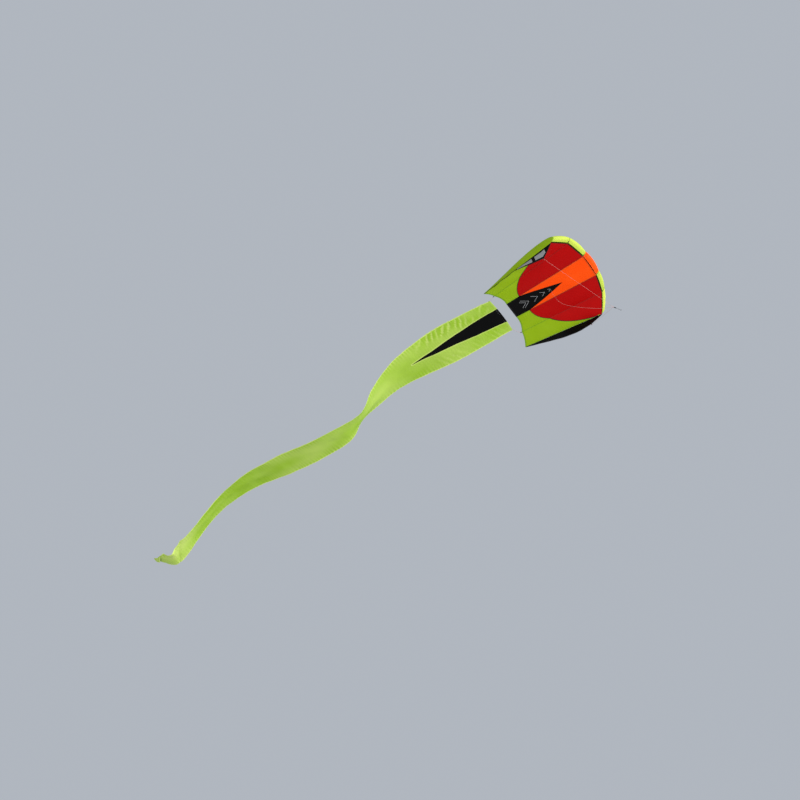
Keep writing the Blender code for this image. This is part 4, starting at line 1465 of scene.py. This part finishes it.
@dataclass
class Bridle:
    """Two taut legs, the slack keel line, the tow knot, the swivel and its leader."""

    canopy: Canopy
    line_radius: float = 0.0008
    knot_radius: float = 0.0022
    second_knot: float = 0.006
    tow_point: Vector = Vector((0.0, -0.475, -0.680))
    tow_knot_radius: float = 0.0045
    tow_strand_radius: float = 0.0012
    line_slope: float = math.radians(49.0)
    keel_route: tuple[tuple[float, float], ...] = (
        (0.164, -0.120), (0.138, -0.190), (0.106, -0.262), (0.060, -0.333), (-0.005, -0.394),
        (-0.076, -0.452), (-0.155, -0.510), (-0.237, -0.562), (-0.350, -0.630))
    keel_points: int = 52
    keel_arrival: Vector = Vector((0.0, 0.94, 0.34))
    swivel_radius: float = 0.0040
    swivel_stub: float = 0.012
    swivel_barrel: float = 0.020
    leader_radius: float = 0.0014
    leader_length: float = 0.070
    leader_turns: int = 7
    stopper_radius: float = 0.0035
    stopper_length: float = 0.008
    stopper_turns: int = 4

    def keel_line(self) -> Piece:
        """Hang the slack keel line between its loop and the tow knot."""
        canopy = self.canopy
        reach = canopy.skin / 2 + 2 * canopy.gap + canopy.tab_length + 0.0002 + self.line_radius
        start = canopy.lower(0.0, canopy.keel_share) + canopy.down(reach)
        end = self.tow_point + self.keel_arrival.normalized() * (self.tow_knot_radius + canopy.gap)
        route = [(start.y, start.z), *self.keel_route, (end.y, end.z)]
        points, way = even_points(route, self.keel_points)
        path = [Vector((0.0, y, z)) for y, z in points]
        line = corded("keel_line_braid", [Strand(path, self.line_radius)], PINK_LINE, None, "keel_line")
        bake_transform(line)
        return line

    def legs(self) -> list[Piece]:
        """Stretch both legs from the knots under the fins' loops to the tow knot."""
        canopy = self.canopy
        pieces = []
        for side in Side:
            start = canopy.fin_base(side, canopy.fin_apex, 1.0) + canopy.down(
                canopy.tab_length + self.knot_radius + 2 * canopy.gap)
            way = (self.tow_point - start).normalized()
            end = self.tow_point - way * (self.tow_knot_radius * 0.7)
            knots = [(start, self.knot_radius * 0.75),
                     (start + way * self.second_knot, self.knot_radius * 0.7)]
            pieces.append(tied_line("bridle_leg_%s_line" % side.label, "bridle_leg_" + side.label,
                                    (start, end), 12, self.line_radius, knots, Body.BRIDLE))
        return pieces

    def tow_knot(self) -> Piece:
        """Tie the three lines together at the tow point."""
        parts = [knot(self.tow_point, Vector(way), self.tow_knot_radius * share, self.tow_strand_radius)
                 for way, share in (((1.0, 0.0, 0.2), 0.72), ((0.1, 0.5, 1.0), 0.66))]
        return corded("tow_knot_line", parts, PINK_LINE, Body.BRIDLE, "tow_knot")

    def swivel(self) -> list[Piece]:
        """Build the barrel swivel, the leader and its stopper knot along the flying line's pull."""
        way = Vector((0.0, -math.cos(self.line_slope), -math.sin(self.line_slope)))
        gap = self.canopy.gap
        radius, stub, barrel = self.swivel_radius, self.swivel_stub, self.swivel_barrel
        slim, edge = radius * 0.55, radius * 1.15
        eye_start = self.tow_point + way * (self.tow_knot_radius + gap)
        eye = turned(eye_start, way, [
            (0.0, 0.0), (slim * 0.7, 0.0002), (slim, 0.0012), (slim, stub * 0.38),
            (slim * 0.75, stub * 0.46), (radius * 0.9, stub * 0.66), (radius, stub * 0.76),
            (radius, stub * 0.97), (radius * 0.94, stub), (0.0, stub)])
        barrel_start = eye_start + way * (stub + gap)
        drum = turned(barrel_start, way, [
            (0.0, 0.0), (edge * 0.94, 0.0), (edge, 0.0004), (edge, barrel * 0.08),
            (edge * 0.9, barrel * 0.12), (edge * 1.06, barrel * 0.18), (edge * 1.1, barrel * 0.30),
            (edge * 1.1, barrel * 0.58), (edge * 1.04, barrel * 0.68), (edge * 0.72, barrel * 0.76),
            (slim * 0.9, barrel * 0.80), (slim, barrel * 0.86), (slim, barrel * 0.97),
            (slim * 0.8, barrel), (0.0, barrel)])
        leader_start = barrel_start + way * (barrel + gap)
        leader_end = leader_start + way * self.leader_length
        ends, half = (leader_start, leader_end), self.leader_radius * 0.5
        twist = [Strand(helix(ends, half, self.leader_turns, 81, phase), self.leader_radius * 0.56)
                 for phase in (0.0, math.pi)]
        stopper_start = leader_end + way * gap
        core, length = self.stopper_radius * 0.80, self.stopper_length
        stopper = turned(stopper_start, way, [
            (0.0, 0.0), (core * 0.8, 0.0), (core, length * 0.15), (core, length * 0.96),
            (core * 0.94, length), (0.0, length)])
        wrap = self.stopper_radius * 0.28
        coil_ends = (stopper_start + way * wrap, stopper_start + way * (length - wrap))
        Strand(helix(coil_ends, self.stopper_radius - wrap, self.stopper_turns, 121), wrap).add_to(stopper)
        bmesh.ops.recalc_face_normals(stopper, faces=stopper.faces)
        pieces = [placed("swivel_eye_steel", eye, STEEL, Body.BRIDLE),
                  placed("swivel_barrel_steel", drum, STEEL, Body.SWIVEL),
                  placed("leader_stopper_knot", stopper, BLACK_CORD, Body.SWIVEL)]
        for piece, node in zip(pieces, ("swivel_eye", "swivel_barrel", "leader_knot")):
            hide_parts(node)
        return [*pieces, corded("tow_leader_cord", twist, BLACK_CORD, Body.SWIVEL, "tow_leader")]

    def build(self) -> list[Piece]:
        """Build the bridle and all that hangs on it, apart from the keel line."""
        return [*self.legs(), self.tow_knot(), *self.swivel()]


# Tail

@dataclass
class Tail:
    """Long ribbon with a black wedge, a stiffened front hem and rolled side hems."""

    canopy: Canopy
    front: Vector = Vector((0.0, 0.768, -0.111))
    course: tuple[tuple[float, float, float], ...] = (
        (0.00, 0.000, 0.0), (0.34, 0.035, -6.0), (0.72, 0.091, -8.0), (1.11, 0.158, 5.0),
        (1.35, 0.255, 18.0), (1.56, 0.417, 29.0), (1.735, 0.612, 41.0), (1.95, 0.755, 20.0),
        (2.28, 0.811, 12.0), (2.71, 0.834, 4.0), (3.14, 0.855, 12.0), (3.52, 0.990, 24.0),
        (3.81, 1.249, 26.0), (4.04, 1.478, 10.0), (4.15, 1.532, 0.0), (4.30, 1.473, 5.0),
        (4.40, 1.418, 25.0))
    stations: int = 480
    rows: int = 860
    width: float = 0.490
    end_width: float = 0.200
    taper_start: float = 0.12
    bow: float = 0.012
    wedge_half_width: float = 0.107
    wedge_length: float = 1.12
    hem_depth: float = 0.020
    hem_swell: float = 0.0022
    side_hem: float = 0.010
    fold_start: float = 0.4
    fold_foot: float = -0.005
    fold_normal: tuple[float, float] = (-0.911, 0.412)
    fold_radius: float = 0.006
    fold_turn: float = math.radians(165.0)
    line_radius: float = 0.0008
    knot_radius: float = 0.0022
    second_knot: float = 0.006
    edge_puckers: Puckers = Puckers(0.0022, 0.036, 0.030, 3.0)
    wedge_puckers: Puckers = Puckers(0.0012, 0.030, 0.022, 11.0)
    fan_height: float = 0.0065
    fan_turn: float = 82.0
    right_share: float = 0.30
    broad_wrinkle: float = 0.012
    small_wrinkle: float = 0.0035
    channel: Swell = Swell(-0.016, 0.18, 0.34)
    crease_height: float = 0.024
    crease_reach: float = 0.034
    dent: Swell = Swell(-0.042, -0.330, 0.042)
    peak: Swell = Swell(0.016, -0.235, 0.030)
    end_ripple: float = 0.008
    glow_base: float = 0.26
    glow_end: float = 0.38
    glow_most: float = 0.8
    # share of the second colour on the front hem: a painted pale glow on the lime ends, the darker tone of
    # the black middle
    hem_tone: float = 0.35

    def __post_init__(self) -> None:
        """Read the ribbon's middle line once."""
        points, way = even_points(self.course, self.stations + 1)
        slopes = np.gradient(points[:, :2], axis=0)
        slopes /= np.linalg.norm(slopes, axis=1)[:, None]
        self.middles = [self.front + Vector((0.0, aft, -drop)) for aft, drop, _ in points]
        self.aheads = [Vector((0.0, slope[0], -slope[1])) for slope in slopes]
        self.sides = [X_WAY * math.cos(angle) + Vector((0.0, slope[1], slope[0])) * math.sin(angle)
                      for angle, slope in zip(np.radians(points[:, 2]), slopes)]
        self.length = float(way[-1])

    def half_width(self, distance: float) -> float:
        """Half of the ribbon's width, which is even at first and then tapers.

        Args:
            distance: Distance from the front edge.

        Returns:
            The half-width.
        """
        share = distance / self.length
        if share < self.taper_start:
            return self.width / 2
        taper = (share - self.taper_start) / (1.0 - self.taper_start)
        return (self.width + (self.end_width - self.width) * taper) / 2

    def ribbon(self, distance: float, across: float, rise: float = 0.0) -> Vector:
        """Point of the ribbon.

        Args:
            distance: Distance from the front edge.
            across: -1 at the left edge to 1 at the right edge.
            rise: Distance off the ribbon's own face.

        Returns:
            Point in the row frame.
        """
        rise += self.wrinkle(distance, across)
        if distance > self.length - self.fold_start:
            distance, across, flap = self.folded(distance, across)
            rise += flap
        row = min(max(distance / self.length, 0.0), 1.0) * self.stations
        low = min(int(row), self.stations - 1)
        middle, side, ahead = (values[low].lerp(values[low + 1], row - low)
                               for values in (self.middles, self.sides, self.aheads))
        side.normalize()
        ahead.normalize()
        bow = self.bow * (1.0 - across ** 2) * max(0.0, 1.0 - distance / 0.30)
        return middle + side * (self.half_width(distance) * across) - ahead * bow + side.cross(ahead) * rise

    def folded(self, distance: float, across: float) -> tuple[float, float, float]:
        """Turn the left rear corner over, as the wind holds it.

        Args:
            distance: Distance from the front edge of the flat ribbon.
            across: -1 at the left edge to 1 at the right edge.

        Returns:
            Distance and place across once folded, and the rise of the flap.
        """
        half = self.half_width(distance)
        across_way, back_way = self.fold_normal
        beyond = (across * half - self.fold_foot) * across_way + (distance - self.length) * back_way
        if beyond <= 0.0:
            return distance, across, 0.0
        turn = min(beyond / self.fold_radius, self.fold_turn)
        rest = beyond - turn * self.fold_radius
        shift = self.fold_radius * math.sin(turn) + rest * math.cos(turn) - beyond
        rise = self.fold_radius * (1.0 - math.cos(turn)) + rest * math.sin(turn)
        moved = distance + back_way * shift
        return moved, (across * half + across_way * shift) / self.half_width(moved), -rise

    def wrinkle(self, distance: float, across: float) -> float:
        """Rise of the ribbon's folds and wrinkles off its smooth course.

        Args:
            distance: Distance from the front edge.
            across: -1 at the left edge to 1 at the right edge.

        Returns:
            The rise.
        """
        half = self.half_width(distance)
        rise = self.edge_puckers.at_edge((1.0 - abs(across)) * half, distance + 2.3 * (across > 0.0))
        if distance < self.wedge_length:
            beside = abs(abs(across) * half - self.wedge_half_width * (1.0 - distance / self.wedge_length))
            rise += self.wedge_puckers.beside(beside, distance + 1.7 * (across > 0.0))
        rise += self.fan_fold(distance, across)
        # the numbers with each wander are its waves per metre, its waves across and its seed
        rise += self.broad_wrinkle * wander(distance * 3.1, across * 1.3, 5.2)
        rise += self.small_wrinkle * wander(distance * 13.0, across * 3.4, 8.7)
        rise += self.channel.at(across) * hill(distance, 1.15, 1.55, 1.9, 2.3)
        return rise * smooth_step(distance, 0.02, 0.10) + self.end_curl(distance - self.length, across)

    def end_curl(self, back: float, across: float) -> float:
        """Crease, dent, peak and ripple of the free end.

        Args:
            back: Distance from the rear edge, below 0 on the ribbon.
            across: -1 at the left edge to 1 at the right edge.

        Returns:
            Their rise.
        """
        crease = abs(back + 0.40 - 0.09 * across) / self.crease_reach
        curl = self.crease_height * math.exp(-crease) * smooth_step(back, -0.8, -0.5)
        curl += self.dent.at(back) * smooth_step(-across, -0.2, 0.9)
        curl += self.peak.at(back) * smooth_step(-across, 0.2, 0.9)
        return curl + self.end_ripple * math.sin(6.0 * across + 2.0) * smooth_step(back, -0.35, 0.0)

    def fan_fold(self, distance: float, across: float) -> float:
        """Slanting folds that run from the front corners and die out along the strips.

        Args:
            distance: Distance from the front edge.
            across: -1 at the left edge to 1 at the right edge.

        Returns:
            Their rise, which is less on the right strip.
        """
        slant = self.fan_turn * (distance + 0.60 * abs(across) * self.half_width(distance))
        slant += 6.5 * wander(distance * 4.0, across * 0.5, 2.2)
        slant += 1.4 * wander(distance * 21.0, across * 4.0, 4.4)
        bunch = 0.6 + 1.3 * wander(distance * 7.0, across * 2.6, 6.6)
        ridge = (max(0.0, math.sin(slant)) ** 2 - 0.3) * min(1.0, max(0.0, bunch))
        fade = hill(distance, 0.04, 0.14, 0.70, 1.10) * smooth_step(abs(across), 0.30, 0.6)
        return self.fan_height * ridge * fade * (1.0 if across < 0.0 else self.right_share)

    def glow(self, distance: float, across: float) -> float:
        """Paler tone where light comes through the crests of folds and edge puckers.

        Args:
            distance: Distance from the front edge.
            across: -1 at the left edge to 1 at the right edge.

        Returns:
            Share of the paler tone.
        """
        away = (1.0 - abs(across)) * self.half_width(distance)
        crest = self.fan_fold(distance, across) / 0.0035
        edge = 0.8 * self.edge_puckers.wave(distance + 2.3 * (across > 0.0)) * math.exp(-away / 0.045)
        edge *= smooth_step(distance, 0.6, 1.0)
        broad = 0.9 * wander(distance * 2.2, across * 1.1, 15.0)
        lit = self.glow_base * (1.0 - hill(distance, 2.9, 3.5, 4.0, 4.4))
        lit += self.glow_end * smooth_step(distance, 4.15, 4.45)
        return min(self.glow_most, max(0.0, lit + 0.6 * crest + 0.5 * edge + 0.4 * broad))

    def wedge_share(self, distance: float, margin: float = 0.0) -> float:
        """Half-width of the black wedge as a share of the ribbon's half-width.

        Args:
            distance: Distance from the front edge.
            margin: Width added to the wedge on each side.

        Returns:
            The share, 0 behind the wedge's tip.
        """
        if distance >= self.wedge_length:
            return 0.0
        half = self.wedge_half_width * (1.0 - distance / self.wedge_length)
        return (half + margin) / self.half_width(distance)

    def build_ribbon(self, hems: Sequence[Piece]) -> Piece:
        """Build the bright ribbon on both sides of the wedge.

        Args:
            hems: Bright ends of the front hem, which are sewn to it.

        Returns:
            The ribbon.
        """
        cloth = ClothMaker("tail_ribbon_cloth", BACKLIT_TAIL_LIME, Body.TAIL)
        first, rows = self.hem_depth, self.rows
        tip_row = int(math.ceil((self.wedge_length - first) / (self.length - first) * rows))
        # columns from the wedge outwards crowd at the side hem, and the last three make the hem
        steps = (0.0, 0.09, 0.2, 0.32, 0.45, 0.58, 0.70, 0.80, 0.875, 0.93)
        hem_steps = (1.0, 0.9, 0.0)
        columns = len(steps) + len(hem_steps) - 1
        for side in Side:
            def cut(t: float, v: float) -> Cut:
                """Point of one half of the ribbon; one row ends at the wedge's tip."""
                row = int(round(v * rows))
                distance = first + (self.length - first) * row / rows
                if row == tip_row:
                    distance = self.wedge_length + 1e-4
                half = self.half_width(distance)
                hem = self.side_hem / half
                inner = self.wedge_share(distance, 0.0005)
                column = int(round(t * columns))
                if column < len(steps):
                    reach = inner + (1.0 - 1.3 * hem - inner) * steps[column] / steps[-1]
                else:
                    reach = 1.0 - hem_steps[column - len(steps)] * hem
                tone = self.glow(distance, side.value * reach)
                # tone is the painted glow from glow(); the side hems and the rear end take the full pale
                # colour as a painted highlight, the column beside the wedge 0.9 of it
                if column > len(steps) or distance > self.length - self.side_hem:
                    tone = 1.0
                if column == 0 and distance < self.wedge_length:
                    tone = 0.9
                return Cut(self.ribbon(distance, side.value * reach),
                           (side.value * reach * half, distance), tone)

            cloth.lay(columns, rows, cut)
        piece = cloth.piece(TAIL_CLOTH, join=2e-5)
        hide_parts("tail_ribbon")
        samples = np.linspace(first, self.length, 400)
        widths = np.array([2.0 * self.half_width(d) * (1.0 - self.wedge_share(d)) for d in samples])
        area = float(((widths[1:] + widths[:-1]) / 2.0 * np.diff(samples)).sum())
        declare_sheet(piece, (self.width, self.length - first), area, hems, Hold.HUNG)
        return piece

    def build_wedge(self, hem: Piece) -> Piece:
        """Build the black wedge that is let into the ribbon.

        Args:
            hem: Black middle of the front hem, which is sewn to it.

        Returns:
            The wedge.
        """
        def cut(t: float, v: float) -> Cut:
            """Point of the wedge."""
            distance = self.hem_depth + (self.wedge_length * 0.992 - self.hem_depth) * v
            across = (2.0 * t - 1.0) * self.wedge_share(distance)
            return Cut(self.ribbon(distance, across), (across * self.half_width(distance), distance))

        return sewn("tail_wedge", BLACK, (16, 200), cut, [hem], Body.TAIL, Hold.HUNG, TAIL_CLOTH)

    def build_hem(self) -> list[Piece]:
        """Build the stiffened front hem in the colours of the cloth behind it."""
        share = self.wedge_share(0.0)
        pieces = []
        for name, finish, start, end in (("left", BACKLIT_TAIL_LIME, -1.0, -share), ("middle", BLACK, -share, share),
                                         ("right", BACKLIT_TAIL_LIME, share, 1.0)):
            def cut(t: float, v: float) -> Cut:
                """Point round the hem's oval section, which closes on itself."""
                turn = 2.0 * math.pi * v
                distance = self.hem_depth * (0.5 - 0.5 * math.cos(turn)) * 0.99
                across = start + (end - start) * t
                spot = self.ribbon(distance, across, self.hem_swell * math.sin(turn))
                # hem_tone paints the lime ends of the hem paler with the glow colour
                return Cut(spot, (across * self.width / 2, v * 2.0 * self.hem_depth), self.hem_tone)

            cloth = ClothMaker("tail_hem_" + name, finish, Body.TAIL).lay(40, 18, cut)
            pieces.append(cloth.piece(join=1e-5))
        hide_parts("tail_hem")
        return pieces

    def build_lines(self) -> list[Piece]:
        """Stretch the two short lines between the canopy's loops and the tail's corners."""
        canopy = self.canopy
        pieces = []
        for side in Side:
            _, trail = canopy.rib_ends(4 if side is Side.RIGHT else 1)
            reach = canopy.tail_tab_seat + canopy.tab_length + self.knot_radius + canopy.gap
            start = canopy.point(trail[0], trail[1] + reach, trail[2])
            corner = self.ribbon(0.0, side.value * 0.985)
            end = corner - Vector((0.0, self.knot_radius + canopy.gap + 0.0006, 0.0))
            step = (end - start).normalized() * self.second_knot
            knots = [(start, self.knot_radius * 0.75), (end, self.knot_radius * 0.75),
                     (end - step, self.knot_radius * 0.7), (start + step, self.knot_radius * 0.7)]
            pieces.append(tied_line("tail_line_%s_line" % side.label, "tail_line_" + side.label,
                                    (start, end), 6, self.line_radius, knots, Body.TAIL_LINES))
        return pieces

    def build(self) -> list[Piece]:
        """Build the ribbon, its wedge, its hem and its lines."""
        left, middle, right = self.build_hem()
        return [left, middle, right, self.build_ribbon([left, right]), self.build_wedge(middle),
                *self.build_lines()]


def main() -> None:
    """Build the kite in order and report each piece."""
    logging.basicConfig(level=logging.INFO, format="%(message)s")
    studio = Studio()
    studio.camera()
    canopy = Canopy()
    bridle = Bridle(canopy)
    pieces = [bridle.keel_line()]
    pieces += canopy.build()
    pieces += bridle.build()
    pieces += Tail(canopy).build()
    for piece in pieces:
        LOG.info("%s: %d faces", piece.name, len(piece.data.polygons))
    studio.floor()
    studio.lights()


if __name__ == "__main__":
    main()
